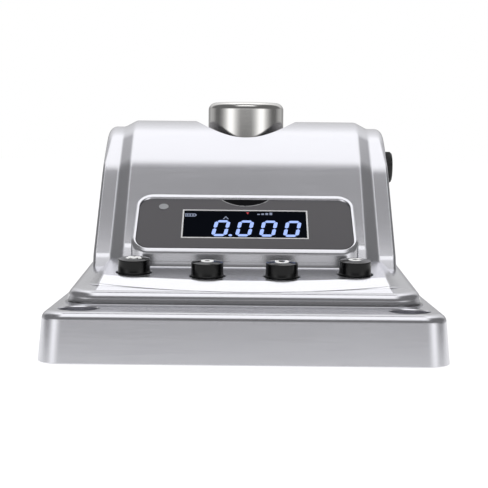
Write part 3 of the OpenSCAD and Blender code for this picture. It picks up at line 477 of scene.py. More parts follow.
# %% Hollow
def prism(side, inset, foot):
    outline = side_view(inset, foot, DECK - 1)
    return loft("hollow", [[(x, y, z) for y, z in outline] for x in (-side, side)])

hollow = prism(BODY_W / 2 - WALL, EAR_STEP + WALL, EAR_FOOT)
room_outline = rounded_outline(BOX_W - 2 * WALL, 29.3, 1, BOX_Y + BOX_L / 2 + 0.7, 3)
under_panel = [raised(room_outline, DECK - 1), raised(room_outline, lambda y: panel_z(y) - 3.8 / PANEL_COS)]
under_roof = [raised(rounded_outline(PLINTH_W - 9, PLINTH_L - 9, 7.1), z) for z in (DECK - 1, DECK + 1.9)]
under_boss = block("tool", (3.5 - BOSS_W / 2, 14, -30), (BOSS_W / 2 - 3.5, 48.87, -2.5), on_boss)
carve(hollow, [prism(FACE_HALF - WALL, WALL, FACE_FOOT), loft("tool", under_panel), loft("tool", under_roof),
               under_boss], "UNION")
kept = [rod(25.4, WELL_FLOOR - 3, 120, shift(0, POST_Y, 0), 96)]
kept += [rod(3.8, 0, DECK + 9, shift(x, y, 0)) for x, y in SCREW_SPOTS]
kept += [rod(3, -7.2, 0, on_panel @ shift(x, PANEL_L / 2 + y, 0), 32)
         for x in (-33.7, 33.7) for y in (-4.5, 4.5)]
kept += [rod(3.2, -8.5, 0, on_boss @ shift(x, 29.6, 0), 32) for x in (-27.9, 0, 27.9)]
carve(hollow, kept)
carve(housing, [hollow], angle=40)
print("hollow housing:", len(housing.data.polygons), "faces")

# %% Holes in the housing
PORT_X, PORT_Z, PORT_W, PORT_H, JACK_X = 34.1, DECK + 27, 6.3, 5.8, -38.1
button_hole = [(0, -6), (6.8, -6), (6.8, -0.25), (7.05, 0.02), (7.05, 3), (0, 3)]
cuts = [rod(22.6, WELL_FLOOR, 120, shift(0, POST_Y, 0), 160), rod(17.2, 60, 120, shift(0, POST_Y, 0), 96)]
cuts += [lathe("tool", button_hole, 64, on_boss @ shift(x, y, 0)) for x, y in BUTTON_SPOTS]
cuts += [block("tool", (-28.45, PANEL_L / 2 - 13.7, -6), (28.45, PANEL_L / 2 + 12.5, -1), on_panel),
         rod(LAMP_R, -6, -1, on_panel @ shift(LAMP_X, LAMP_V, 0), 32), rod(3.6, -8, 8, at_knob),
         rod(5.6, -12, 4, shift(JACK_X, REAR_Y, PORT_Z) @ turn(-90, "X"), 64),
         block("tool", (PORT_X - PORT_W, REAR_Y - 8, PORT_Z - PORT_H),
               (PORT_X + PORT_W, REAR_Y + 2, PORT_Z + PORT_H))]
cuts += [rod(2.05, DECK - 1, DECK + 3.5, shift(x, y, 0), 32) for x, y in SCREW_SPOTS]
carve(housing, cuts, angle=40)
even_shading(housing)
for piece, node in ((base, "base_casting"), (housing, "upper_housing")):
    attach(piece, "body")
    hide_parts(node)
print("housing:", len(housing.data.polygons), "faces")

# %% [markdown]
# ## The measuring post
# The post is turned from steel and polished, so it is a lathe profile with a wide
# rounding at the top. The square for the driver is cut afterwards, with a bevelled mouth.

# %% Post
POST_R, POST_EDGE, SQUARE, SQUARE_DEPTH = 16.8, 3.3, 4.8, 14
profile = [(0, 68.2), (POST_R, 68.2), (POST_R, POST_TOP - POST_EDGE)]
profile += [(POST_R - POST_EDGE + POST_EDGE * cos(a), POST_TOP - POST_EDGE + POST_EDGE * sin(a))
            for a in arc(14)[1:]]
post = lathe("post_head", profile + [(0, POST_TOP)], 160, shift(0, POST_Y, 0), 40)
spigot = lathe("spigot", [(0, 59.2), (8.6, 59.2), (9, 59.6), (9, 69), (0, 69)], 64, shift(0, POST_Y, 0))
carve(post, [spigot], "UNION", 40)
square = [[(sx * r, POST_Y + sy * r, z) for sx, sy in ((1, 1), (-1, 1), (-1, -1), (1, -1))]
          for r, z in ((SQUARE, POST_TOP - SQUARE_DEPTH), (SQUARE, POST_TOP - 0.8), (5.6, POST_TOP),
                       (5.6, POST_TOP + 2))]
carve(post, [loft("tool", square)], angle=40)
even_shading(post)
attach(post, "body")
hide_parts("measuring_post")
print("post:", len(post.data.polygons), "faces")

# %% [markdown]
# ## Ribs round a drum
# The knob has fine upright ribs for grip. A rib repeats at even steps round a circle,
# which is work for Geometry Nodes: a circle gives the places, a thin rod is set on each,
# and the rods join the drum. The numbers are inputs, so the tree fits other drums too.

# %% Geometry tree for ribs
ribs, given, made = new_tree("ribs_round_a_drum", "GeometryNodeTree",
    [("Drum", "Geometry", None), ("Rib Count", "Int", 60), ("Ring Radius", "Float", 0.0058),
     ("Rib Radius", "Float", 0.0002), ("Rib Height", "Float", 0.003), ("Rib Foot", "Float", 0.001),
     ("Finish", "Material", None)], [("Ribbed Drum", "Geometry")])
circle = put("GeometryNodeMeshCircle", Vertices=given["Rib Count"], Radius=given["Ring Radius"])
lift = put("CombineXYZ", Z=times_plus(given["Rib Height"], 0.5, given["Rib Foot"]))
spots = put("GeometryNodeSetPosition", Geometry=circle, Offset=lift)
rib = put("GeometryNodeMeshCylinder", Vertices=8, Radius=given["Rib Radius"], Depth=given["Rib Height"])
placed = put("GeometryNodeInstanceOnPoints", Points=spots, Instance=rib.outputs["Mesh"])
joined = put("GeometryNodeJoinGeometry", Geometry=placed)
link(given["Drum"], joined.inputs[0])
end_tree(joined, given["Finish"], made[0])
print("ribs tree:", len(ribs.nodes), "nodes")

# %% [markdown]
# ## The four buttons
# A cap is moulded in gloss black, with a low dome, a side that widens a little downwards
# and a thin flange where it meets the panel. Each cap is turned at the origin, where its
# profile is easy to write, and is then carried to its own place on the tilted panel.

# %% Button caps
CAP_TOP, CAP_EDGE, DOME, DOME_R = 5.2, 0.32, 0.4, 5.7
cap_profile = [(0, -1.2), (5.9, -1.2), (5.9, 0.1), (6.2, 0.1), (6.3, 0.2), (6.3, 0.42), (6.2, 0.54),
               (6.1, 0.62), (6.05, 0.8)]
cap_profile += [(DOME_R + CAP_EDGE * cos(a), CAP_TOP - CAP_EDGE + CAP_EDGE * sin(a))
                for a in arc(8)]
cap_profile += [(DOME_R * t, CAP_TOP + DOME * (1 - t * t))
                for t in (0.96, 0.85, 0.7, 0.55, 0.4, 0.25, 0.1, 0)]

for name, (x, y) in zip(BUTTONS, BUTTON_SPOTS):
    cap = lathe(name + "_cap", cap_profile, 96, angle=35)
    place_mesh(cap, on_boss @ shift(x, y, 0))
    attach(cap, name + "_key")
    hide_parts(name + "_button")
print("caps at x", [round(x, 2) for x, y in BUTTON_SPOTS])

# %% [markdown]
# ## Marks on the buttons
# Each cap carries a plain printed sign: a wave for the mode, a ring for the power, a
# turning arrow for the unit, and a round arrow for clearing. A sign is a line with width
# that lies on the dome, so its height is read from the dome's own curve.

# %% Marks
STROKE_STEP, SHARPEST_MITRE = 0.5, 0.45

def dome_z(x, y):
    return CAP_TOP + DOME * (1 - (x * x + y * y) / DOME_R ** 2)

def flat(x, y):
    return 0

def stroke(points, width, closed):
    """Left and right points along a line, mitred at its corners and cut into short steps."""
    pts, sides = [], []
    for a, b in zip(points, points[1:] + points[:1] if closed else points[1:]):
        count = max(1, round((Vector(b) - Vector(a)).length / STROKE_STEP))
        pts += [Vector(a).lerp(Vector(b), i / count) for i in range(count)]
    pts += [] if closed else [Vector(points[-1])]
    for i, p in enumerate(pts):
        before = pts[i - 1] if i or closed else None
        after = pts[(i + 1) % len(pts)] if i + 1 < len(pts) or closed else None
        d1 = (p - before).normalized() if before is not None else (after - p).normalized()
        d2 = (after - p).normalized() if after is not None else d1
        middle = (d1 + d2).normalized()
        side = Vector((-middle.y, middle.x)) * (width / 2 / max(SHARPEST_MITRE, middle.dot(d1)))
        sides.append((p + side, p - side))
    return sides

def printed(name, strokes, polygons, height, place, thick, root=0.005):
    """Signs with a little thickness, laid on a surface whose height is given."""
    verts, faces, outlines = [], [], []
    for points, width, closed in strokes:
        sides = stroke(points, width, closed)
        for (a, b), (c, d) in zip(sides, sides[1:] + sides[:1] if closed else sides[1:]):
            outlines.append([tuple(a), tuple(b), tuple(d), tuple(c)])
    for outline in outlines + polygons:
        start, n = len(verts), len(outline)
        verts += [place @ Vector((*p, height(*p) + dz)) for dz in (root, thick) for p in outline]
        faces += [tuple(range(start, start + n))[::-1], tuple(range(start + n, start + 2 * n))]
        faces += [(start + i, start + (i + 1) % n, start + n + (i + 1) % n, start + n + i) for i in range(n)]
    return new_piece(name, verts, faces, 20)

def ring_points(r, start, end, n=28, cx=0, cy=0):
    return [(cx + r * cos(a), cy + r * sin(a)) for a in arc(n, start, end)]

# lines as (points, width, closed), then filled outlines
wave = [(x / 5, 0.4 - 1.9 * cos(x / 13 * 2 * pi)) for x in range(-13, 14)]
SIGNS = {
    "mode": ([(wave, 1.5, False)], []),
    "power": ([(ring_points(1.75, 0, 360, 28, 0, 0.2)[:-1], 1.35, True)], []),
    "unit": ([([(-1.9, 2.6)] + ring_points(1.9, 180, 360, 16) + [(1.9, 1.2)], 1.35, False)],
             [[(0.6, 1.1), (3.2, 1.1), (1.9, 3.3)]]),
    "clear": ([(ring_points(1.9, 60, 335, 28, 0, 0.4), 1.35, False)], [[(0.8, 3.7), (0.8, 0.9), (3.0, 2.5)]]),
}
for name, (x, y) in zip(BUTTONS, BUTTON_SPOTS):
    mark = printed(name + "_mark", *SIGNS[name], dome_z, on_boss @ shift(x, y, 0), 0.06, -0.1)
    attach(mark, name + "_key")
print("marks:", list(SIGNS))

# %% [markdown]
# ## The zero knob
# Seen from the front the knob is only a thin black disc at the side. From the side it has
# ribs on its edge and a pointer groove across its face, so that a hand can turn and read it.

# %% Knob
knob_black = bpy.data.materials.new("knob_black")      # filled in with the other finishes
knob_profile = [(0, 0.4), (6.4, 0.4), (6.62, 0.62), (6.62, 2.3), (6.4, 2.85), (5.9, 3.12), (5.5, 3.2),
                (4.7, 3.2), (4.45, 2.98), (0, 2.98)]
knob = lathe("knob_cap", knob_profile, 96, angle=35)
groove = block("tool", (-0.35, 1.4, 2.7), (0.35, 7, 4))
carve(knob, [rod(5.5, -1, 1.8), rod(2.01, 0, 2.6), groove], angle=35)
grow(knob, ribs, Rib_Count=54, Ring_Radius=0.00656, Rib_Radius=0.00024, Rib_Height=0.0018, Rib_Foot=0.00055,
     Finish=knob_black)
place_mesh(knob, at_knob)
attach(knob, "knob")
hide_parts("zero_knob")
print("knob:", len(knob.data.polygons), "faces")

# %% [markdown]
# ## The panel's sheet
# A dark sheet of film lies in the box's pocket, almost flush. A hairline gap shows at its
# sides and rear, and a wider one at its front. It is a thin loft of the pocket's outline,
# with a window for the display and a hole for the lamp.

# %% Panel sheet
GAP, FRONT_GAP, LCD_W, LCD_L = 0.12, 1.2, 25.2, 9.85
LCD_V = PANEL_L / 2 - 0.6                       # middle of the display, up the panel's slope
panel = loft("panel_sheet", [box_ring(lift, RIM_SIDE + GAP, RIM_FRONT + FRONT_GAP, RIM_REAR + GAP)
                             for lift in (-1.15, 0)])
carve(panel, [block("tool", (-LCD_W, LCD_V - LCD_L, -3), (LCD_W, LCD_V + LCD_L, 2), on_panel),
              rod(LAMP_R, -3, 2, on_panel @ shift(LAMP_X, LAMP_V, 0))])
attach(panel, "body")
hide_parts("display_panel")
print("panel sheet:", len(panel.data.polygons), "faces")

# %% [markdown]
# ## What the display shows
# The display lies in a thin white frame, and shows 0.000 in slanted seven-segment
# figures. A nought is six bars. Geometry Nodes repeat it four times at an even pitch,
# and the point and a few plain signs are printed between and above them.

# %% A slanted nought, repeated
SLANT, DIGIT_W, DIGIT_H, BAR, BAR_GAP, BAR_POINT, DIGIT_PITCH = 0.15, 6.2, 10.95, 1.45, 0.22, 0.42, 9.45
PRINT = 0.03
lens_plane = on_panel @ shift(0, LCD_V - 9.2, -0.2)
glow_blue = bpy.data.materials.new("figures")

def bar_shape(x0, y0, x1, y1):
    """A six-sided bar between two points, pointed at its ends and slanted."""
    a, b = Vector((x0, y0)), Vector((x1, y1))
    d = (b - a).normalized()
    n, point = Vector((-d.y, d.x)) * BAR / 2, d * BAR * BAR_POINT
    outline = (a, a + point - n, b - point - n, b, b - point + n, a + point + n)
    return [(x + SLANT * y, y) for x, y in outline]

half_h, low, high, left, right_x = DIGIT_H / 2, BAR / 2, DIGIT_H - BAR / 2, BAR / 2, DIGIT_W - BAR / 2
bars = [bar_shape(left + BAR_GAP, y, right_x - BAR_GAP, y) for y in (low, high)]
for x in (left, right_x):
    bars += [bar_shape(x, low + BAR_GAP, x, half_h - BAR_GAP),
             bar_shape(x, half_h + BAR_GAP, x, high - BAR_GAP)]
figures = printed("figures", [], bars, flat, Matrix(), PRINT)

row, given, made = new_tree("row_of_figures", "GeometryNodeTree",
    [("Figure", "Geometry", None), ("Figure Count", "Int", 4), ("Figure Pitch", "Float", 0.009),
     ("Finish", "Material", None)], [("Row", "Geometry")])
step = put("CombineXYZ", X=given["Figure Pitch"])
line = put("GeometryNodeMeshLine", {"mode": "OFFSET"}, Count=given["Figure Count"], Offset=step)
copies = put("GeometryNodeInstanceOnPoints", Points=line, Instance=given["Figure"])
end_tree(copies, given["Finish"], made[0])
grow(figures, row, Figure_Count=4, Figure_Pitch=DIGIT_PITCH * MM, Finish=glow_blue)
place_mesh(figures, lens_plane @ shift(-13.45, 0.95, 0))
print("figures:", len(figures.data.polygons), "faces")

# %% Small signs in the display
def corners(x0, y0, x1, y1):
    return [(x0, y0), (x1, y0), (x1, y1), (x0, y1)]

SMALL_SIGNS = {
    "point": ([], [ring_points(0.72, 0, 360, 15, -5.75, 1.65)[:-1]]),
    "battery_sign": ([(corners(-23.9, 14.4, -20.1, 16.3), 0.3, True)],
                     [corners(x, 14.8, x + 0.7, 15.9) for x in (-23.5, -22.4, -21.3)]
                     + [corners(-19.95, 14.9, -19.45, 15.8)]),
    "bars_sign": ([], [corners(4.9 + 1.65 * i, 15.9, 6.0 + 1.65 * i, 16.6 + 0.3 * i) for i in range(4)]),
    "peak_sign": ([([(-8.7, 12.7), (-7.7, 14.4), (-6.7, 12.7)], 0.42, False)], []),
    "alert_sign": ([], [[(0.45, 17.6), (1.05, 16.2), (1.65, 17.6)]]),
}
signs = [printed(name, *shapes, flat, lens_plane, PRINT) for name, shapes in SMALL_SIGNS.items()]
for piece in [figures] + signs:
    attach(piece, "body")
print("signs in the display:", list(SMALL_SIGNS))

# %% [markdown]
# ## The dark window at the panel's top
# At the top of the panel there is a black cut like the lower part of a disc, with a thin
# pale line along its arc. It is printed, so it is a flat shape with almost no thickness.

# %% Dark window
WINDOW_V, CHORD, SAG = PANEL_L - 3.3, 9.3, 4.3
arc_r = (CHORD ** 2 + SAG ** 2) / (2 * SAG)
spread = degrees(asin(CHORD / arc_r))

def lower_arc(wider):
    return ring_points(arc_r + wider, 270 - spread, 270 + spread, 36, 0, WINDOW_V - SAG + arc_r)

window = printed("dark_window", [], [lower_arc(0)], flat, on_panel, 0.02)
window_line = printed("window_line", [(lower_arc(0.22), 0.42, False)], [], flat, on_panel, 0.016)
for piece in (window, window_line):
    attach(piece, "body")
print("window:", round(2 * CHORD, 1), "mm wide")

# %% [markdown]
# ## Effects that several finishes share
# Brushing, cast grain, turned rings, worn edges and handling marks show on more than one
# material, so each is a shader group with plain inputs. A group gives out only a value
# between 0 and 1. The material decides how far that value moves its tone, its roughness
# and its height, and so one group can be strong on steel and faint on plastic.

# %% Groups for lines and grain
def effect(name, build, *setting):
    """A shader group from a place on the piece, and at most one setting, to one value."""
    sockets = [("Place", "Vector", None)] + ([setting] if setting else [])
    tree, given, made = new_tree(name, "ShaderNodeTree", sockets, [("Value", "Float")])
    link(build(*[given[socket[0]] for socket in sockets]), made["Value"])
    return tree

def noise(place, scale, detail=2.0, rough=0.5, dimensions="3D"):
    return put("TexNoise", {"noise_dimensions": dimensions}, Vector=place, Scale=scale,
               Detail=detail, Roughness=rough)

def ramp(value, start, end, first=0.0, last=1.0, curve="LINEAR"):
    """Turns start to end into first to last, and holds those two beyond the ends."""
    return put("MapRange", {"interpolation_type": curve}, Value=value, From_Min=start,
               From_Max=end, To_Min=first, To_Max=last)

def split(place):
    return put("SeparateXYZ", Vector=place).outputs

def build_brushed(place, fineness):
    stretched = put("VectorMath", {"operation": "MULTIPLY"}, _0=place, _1=fineness)
    coarse = times(noise(stretched, 0.35), 0.4)
    return times_plus(noise(stretched, 1.0, 3), 0.6, coarse)

def build_grain(place, fineness):
    pits = put("TexVoronoi", {"feature": "F1"}, Vector=place, Scale=fineness)
    pitted = times(pits.outputs["Distance"], 0.3)
    return times_plus(noise(place, fineness, 4, 0.6), 0.7, pitted)

def build_rings(place, fineness):
    x, y, z = split(place)
    across = maths("SQRT", maths("ADD", maths("POWER", x, 2.0), maths("POWER", y, 2.0)))
    turned = put("CombineXYZ", X=across, Y=z)
    return noise(turned, fineness, 3, 0.6, "2D")

brushed = effect("brushed_lines", build_brushed, "Fineness", "Vector", (100, 2000, 2000))
grain = effect("moulded_grain", build_grain, "Fineness", "Float", 1500)
rings_cut = effect("turned_rings", build_rings, "Fineness", "Float", 2500)
print("groups:", brushed.name, grain.name, rings_cut.name)

# %% Groups for wear, bands and tracks
def build_marks(place, fineness):
    smudge = ramp(noise(place, fineness, 3, 0.65), 0.38, 0.66, curve="SMOOTHSTEP")
    spots = noise(place, times(fineness, 5.0))
    return times_plus(smudge, 0.7, times(spots, 0.3))

def build_edges(place, reach):
    rounded = put("Bevel", {"samples": 4}, Radius=reach)
    plain = put("NewGeometry").outputs["Normal"]
    bend = put("VectorMath", {"operation": "DOT_PRODUCT"}, _0=rounded, _1=plain)
    return times(ramp(bend.outputs["Value"], 0.995, 0.90), noise(place, 400.0, 3))

def build_bands(place, pitch):
    part = maths("FRACT", maths("DIVIDE", split(place)[0], pitch))
    return ramp(maths("ABSOLUTE", maths("SUBTRACT", part, 0.5)), 0.30, 0.42)

def build_tracks(place, fineness):
    cells = put("TexVoronoi", {"feature": "F1", "distance": "CHEBYCHEV"}, Vector=place,
                Scale=fineness, Randomness=0.8)
    lines = times(cells.outputs["Distance"], 5.0)
    return ramp(maths("FRACT", lines), 0.55, 0.65)

handling = effect("handling_marks", build_marks, "Fineness", "Float", 25)
worn_edges = effect("worn_edges", build_edges, "Reach", "Float", 0.0006)
bands = effect("bands", build_bands, "Pitch", "Float", 0.00127)
tracks = effect("copper_tracks", build_tracks, "Fineness", "Float", 110)
print("groups:", handling.name, worn_edges.name, bands.name, tracks.name)

# %% [markdown]
# ## Painted highlight and painted shade on the silver coat
# Two places on the castings are marked by where they lie, in metres: the front of the button
# panel, ahead of a curved line, which is painted lighter as a highlight, and the narrow seam at
# the plinth's foot, which is painted darker as shade. The front also gets a normal that leans
# forward, where the panel falls a little more to its edge.

# %% Groups for the painted highlight and the painted shade
BOW, MIDDLE_Y = 3.1, -0.0608            # the curved line is y = BOW * x * x + MIDDLE_Y

# Painted highlight: ahead of the curved line the silver coat is made lighter; the same zone also leans the
# normal.
def build_front(place):
    x, y, z = split(place)
    line = times_plus(times(x, x), BOW, MIDDLE_Y)
    ahead = ramp(maths("SUBTRACT", line, y), 0.0, 0.001)
    inside = ramp(maths("ABSOLUTE", x), 0.0530, 0.0526)
    high = ramp(z, 0.02226, 0.02234)
    return times(ahead, times(inside, high))

# Painted shade: darkens the narrow band at the plinth's foot, where it meets the flange.
def build_seam(place):
    z = split(place)[2]
    return times(ramp(z, 0.0191, 0.0181), ramp(z, 0.01760, 0.01775))

painted_seam_shade = effect("painted_seam_shade", build_seam)
painted_front_highlight = effect("painted_front_highlight", build_front)
leaning, given, made = new_tree("leaning_front", "ShaderNodeTree",
    [("Place", "Vector", None), ("Lean", "Float", -0.3)], [("Normal", "Vector")])
zone = put("Group", {"node_tree": painted_front_highlight}, Place=given["Place"])
tilt = put("CombineXYZ", Y=times(zone, given["Lean"]))
plain = put("NewGeometry").outputs["Normal"]
whole = put("VectorMath", _0=plain, _1=tilt)
unit = put("VectorMath", {"operation": "NORMALIZE"}, _0=whole)
link(unit, made[0])
print("groups:", painted_seam_shade.name, painted_front_highlight.name, leaning.name)

# %% [markdown]
# ## One way to write a finish
# A finish is a base colour, a roughness, a short list of effects and the pieces that get
# it. Each effect says how much it moves the tone and the roughness, and how deep it is in
# millimetres. The shader itself stays in the material, where numbers that are even all
# over are set on its sockets.

# %% The finish builder
ZERO_AT_REST = (worn_edges, painted_front_highlight, painted_seam_shade)    # the other groups vary about 0.5

def finish(name, colour, roughness, *effects, accent=None, centre=(0, 0, 0), lean=None, lit=False, on="",
           **even):
    """effects: (group, setting, tone, rough, depth in mm); accent: (group, setting, colour)."""
    material = bpy.data.materials.get(name) or bpy.data.materials.new(name)
    blank_tree(material)
    shader = put("BsdfPrincipled", **even)
    link(shader, put("OutputMaterial").inputs["Surface"])
    place = put("Mapping", Vector=put("TexCoord").outputs["Object"],
                Location=[-c * MM for c in centre])

    def value_of(group, setting):
        node = put("Group", {"node_tree": group}, Place=place)
        if setting is not None:
            node.inputs[1].default_value = setting
        return node

    tone, rough, height = 1.0, roughness, None
    for group, setting, tone_by, rough_by, depth in effects:
        value = value_of(group, setting)
        centred = maths("SUBTRACT", value, 0.0 if group in ZERO_AT_REST else 0.5)
        tone = times_plus(centred, tone_by, tone) if tone_by else tone
        rough = times_plus(centred, rough_by, rough) if rough_by else rough
        if depth:
            height = times_plus(value, depth, 0.0 if height is None else height)
    base_colour = put("RGB")
    base_colour.outputs[0].default_value = (*colour, 1)
    shade = base_colour
    if accent:
        group, setting, second = accent
        shade = put("Mix", {"data_type": "RGBA"}, _0=value_of(group, setting), _6=shade,
                    _7=(*second, 1)).outputs[2]
    toned = put("VectorMath", {"operation": "SCALE"}, _0=shade, Scale=tone)
    link(toned, shader.inputs["Emission Color" if lit else "Base Color"])
    clean = put("Clamp", Value=rough, Min=0.04, Max=1.0)
    link(clean, shader.inputs["Roughness"])
    if height is not None:
        bump = put("Bump", Strength=1.0, Distance=MM, Height=height)
        link(bump, shader.inputs["Normal"])
        if lean:
            leant = put("Group", {"node_tree": lean}, Place=place)
            link(leant.outputs["Normal"], bump.inputs["Normal"])
    for piece in on.split():
        obj = frame["nodes"].get(piece) or bpy.data.objects[piece]
        obj.data.materials.clear()
        obj.data.materials.append(material)
    print(name, "on", on)
print("finish builder ready")

# %% [markdown]
# ## Painted and plated metal
# The castings have a satin silver coat with very fine level brushing, which spreads each
# reflection up and down a little. It mirrors the studio softly, so most of its greys are the
# room's greys, but a highlight at the button panel's front and shade at the plinth's foot are
# painted into its colour. The post is polished steel.

# %% Metal finishes
fine_marks = (handling, 22, 0.03, 0.05, 0)
# The silver coat is painted lighter at the button panel's front, a painted highlight, and darker at the
# plinth's foot, a painted shade.
finish("silver_coat", (0.685, 0.685, 0.725), 0.22, (painted_front_highlight, None, 0.36, 0, 0),
       (painted_seam_shade, None, -0.5, 0, 0), (brushed, (110, 2200, 2200), 0.11, 0.06, 0.0006),
       (handling, 12, 0.015, 0.02, 0), (worn_edges, 0.0005, 0.15, -0.04, 0), Metallic=0.9, lean=leaning,
       on="base_flange body_block")
finish("polished_steel", (0.74, 0.73, 0.715), 0.15, (rings_cut, 2600, 0.06, 0.08, 0.0005), fine_marks,
       Metallic=1.0, centre=(0, POST_Y, 0), on="post_head")
finish("shaft_steel", (0.66, 0.66, 0.67), 0.22, (grain, 2500, 0.06, 0.1, 0.0004), fine_marks, Metallic=1.0,
       on="knob_shaft")
finish("blackened_steel", (0.10, 0.10, 0.105), 0.42, (grain, 1800, 0.3, 0.15, 0.003),
       (worn_edges, 0.0003, 1.6, -0.1, 0), Metallic=1.0, on="housing_screws cell_screws post_set_screws")
finish("plated_steel", (0.66, 0.66, 0.67), 0.26, (grain, 1600, 0.1, 0.1, 0.001), (handling, 60, 0.08, 0.1, 0),
       Metallic=1.0, on="display_board_screws button_board_screws board_screws strap_screws port_screws "
       "battery_strap potentiometer_nut charge_jack_nut data_port")
finish("machined_alloy", (0.55, 0.56, 0.58), 0.33, (brushed, (2400, 2400, 60), 0.14, 0.12, 0.002),
       (handling, 40, 0.06, 0.1, 0), Metallic=1.0, on="torque_cell")
finish("turned_brass", (0.72, 0.52, 0.22), 0.3, (brushed, (60, 60, 3000), 0.14, 0.12, 0.001),
       (handling, 80, 0.15, 0.1, 0), Metallic=1.0, on="board_standoffs port_standoffs")

# %% [markdown]
# ## Plastic, film and board
# The caps are gloss black, with dust-fine marks that break up the gloss. The panel is a
# satin film with a fine tooth. The inner parts get their own finishes as well: solder
# mask with tracks, shrink sleeves, cable with its separate cores, and moulded black.

# %% Plastic finishes
finish("gloss_black", (0.005, 0.005, 0.0055), 0.12, (handling, 130, 0.5, 0.08, 0),
       (worn_edges, 0.00025, 1.5, 0.1, 0), Specular_IOR_Level=0.26,
       on="mode_cap power_cap unit_cap clear_cap charge_jack")
finish("knob_black", (0.014, 0.014, 0.014), 0.45, (grain, 2200, 0.4, 0.15, 0.01),
       (worn_edges, 0.0003, 1.8, 0.1, 0), on="knob_cap")
finish("moulded_black", (0.03, 0.03, 0.032), 0.5, (grain, 1700, 0.4, 0.2, 0.012),
       (handling, 60, 0.2, 0.1, 0),
       on="lcd_module tact_switches board_components battery_cradle potentiometer")
finish("panel_film", (0.091, 0.087, 0.096), 0.46, (grain, 3600, 0.10, 0.15, 0.003),
       (handling, 30, 0.05, 0.06, 0), Specular_IOR_Level=0.3, on="panel_sheet")
finish("white_frame", (0.80, 0.80, 0.81), 0.42, (grain, 2600, 0.05, 0.1, 0.003),
       (handling, 70, 0.04, 0.05, 0), on="lcd_frame mode_plunger power_plunger unit_plunger clear_plunger")
# The printed marks also glow a little: painted light that keeps them white.
finish("glowing_white_ink", (0.95, 0.95, 0.95), 0.4, (grain, 3000, 0.10, 0.1, 0.002),
       (handling, 200, 0.06, 0.05, 0), Emission_Color=(1, 1, 1, 1), Emission_Strength=0.22,
       on="mode_mark power_mark unit_mark clear_mark")
finish("black_ink", (0.004, 0.004, 0.005), 0.32, (grain, 3600, 0.3, 0.1, 0.001), fine_marks,
       Specular_IOR_Level=0.01, on="dark_window")
finish("grey_ink", (0.36, 0.36, 0.37), 0.45, (grain, 3200, 0.15, 0.1, 0.001), fine_marks, on="window_line")
finish("solder_mask", (0.02, 0.13, 0.055), 0.32, (handling, 90, 0.2, 0.1, 0),
       accent=(tracks, 110, (0.05, 0.22, 0.09)), on="display_board button_board main_board port_board")
finish("shrink_sleeve", (0.05, 0.20, 0.09), 0.3, (handling, 70, 0.2, 0.1, 0), (grain, 600, 0.1, 0.1, 0.01),
       on="battery_cells")
finish("gauge_film", (0.52, 0.24, 0.05), 0.25, (handling, 300, 0.2, 0.1, 0),
       accent=(bands, 0.0006, (0.28, 0.10, 0.03)), on="strain_gauges")
finish("flat_cable", (0.42, 0.43, 0.45), 0.45, (grain, 1500, 0.1, 0.1, 0.005),
       accent=(bands, 0.00127, (0.24, 0.25, 0.27)), on="display_ribbon button_ribbon")

# %% [markdown]
# ## The display's glass and light
# The window is almost black, and its own gloss is kept low, as on a coated lens, so the
# figures stay the brightest thing in it. The figures and signs give light of their own,
# which is slightly uneven, like a back light behind a film.

# %% Display finishes
back_light = (grain, 4000, 0.2, 0.1, 0)
dark_film = {"lit": True, "Base_Color": (0.02, 0.02, 0.03, 1), "Specular_IOR_Level": 0.1}
finish("display_glass", (0.0035, 0.0045, 0.0075), 0.12, (handling, 45, 0.15, 0.06, 0),
       (grain, 5000, 0.2, 0.02, 0), IOR=1.12, Specular_IOR_Level=0.01, on="lcd_lens")
finish("figures", (0.36, 0.50, 0.98), 0.4, back_light, Emission_Strength=1.12, on="figures point",
       **dark_film)
finish("sign_grey", (0.30, 0.35, 0.48), 0.4, back_light, Emission_Strength=0.75,
       on="battery_sign bars_sign peak_sign", **dark_film)
finish("sign_red", (0.60, 0.04, 0.05), 0.4, back_light, Emission_Strength=0.8, on="alert_sign",
       **dark_film)
finish("lamp_lens", (0.34, 0.35, 0.37), 0.35, (grain, 2600, 0.1, 0.1, 0.002),
       (handling, 200, 0.08, 0.05, 0), on="status_lamp")
bare = [name for name, obj in frame["nodes"].items() if not obj.hide_render and
        not all(m and m.node_tree and len(m.node_tree.nodes) > 4 for m in obj.data.materials)]
print("nodes without a finish of their own:", bare)

# %% [markdown]
# ## The room that the metal mirrors
# Silver shows its surroundings, so the room is drawn as walls that are dark beside the
# camera, bright at the sides and dim at the back, under a ceiling that is dark in front
# and pale overhead and behind. The room is the world's light, chosen by direction only,
# and it is the same for every view. What the camera sees past the object is white, as in
# the photograph, and so is what metal and glass see straight behind the object.

# %% The room
WALLS = [(0.0, 0.08), (0.09, 0.12), (0.13, 0.27), (0.17, 0.50), (0.21, 0.82), (0.25, 1.0), (0.30, 0.95),
         (0.36, 0.50), (0.43, 0.22), (0.49, 0.11), (0.57, 0.11), (0.66, 0.30), (0.75, 0.36), (0.84, 0.22),
         (0.93, 0.26), (1.0, 0.42)]
FACING = [(0.0, 0.375), (0.12, 0.26), (0.2, 0.0), (1.0, 0.0)]
CEILING = [(0.0, 0.34), (0.06, 0.11), (0.26, 0.10), (0.30, 0.95), (0.53, 1.0), (0.64, 1.0), (0.70, 0.76),
           (0.77, 0.62), (0.85, 0.52), (0.92, 0.45), (1.0, 0.25)]
PAST_THE_SIDES, ROOM_LIGHT = 0.11, 1.5

def levels(source, stops):
    """A ramp from (place, brightness) pairs."""
    node = put("ValToRGB", _0=source)
    ends = node.color_ramp.elements
    ends[0].position, ends[1].position = stops[0][0], stops[-1][0]
    for place, level in stops[1:-1]:
        ends.new(place)
    for place, level in stops:
        min(ends, key=lambda e: abs(e.position - place)).color = (level, level, level, 1)
    return node

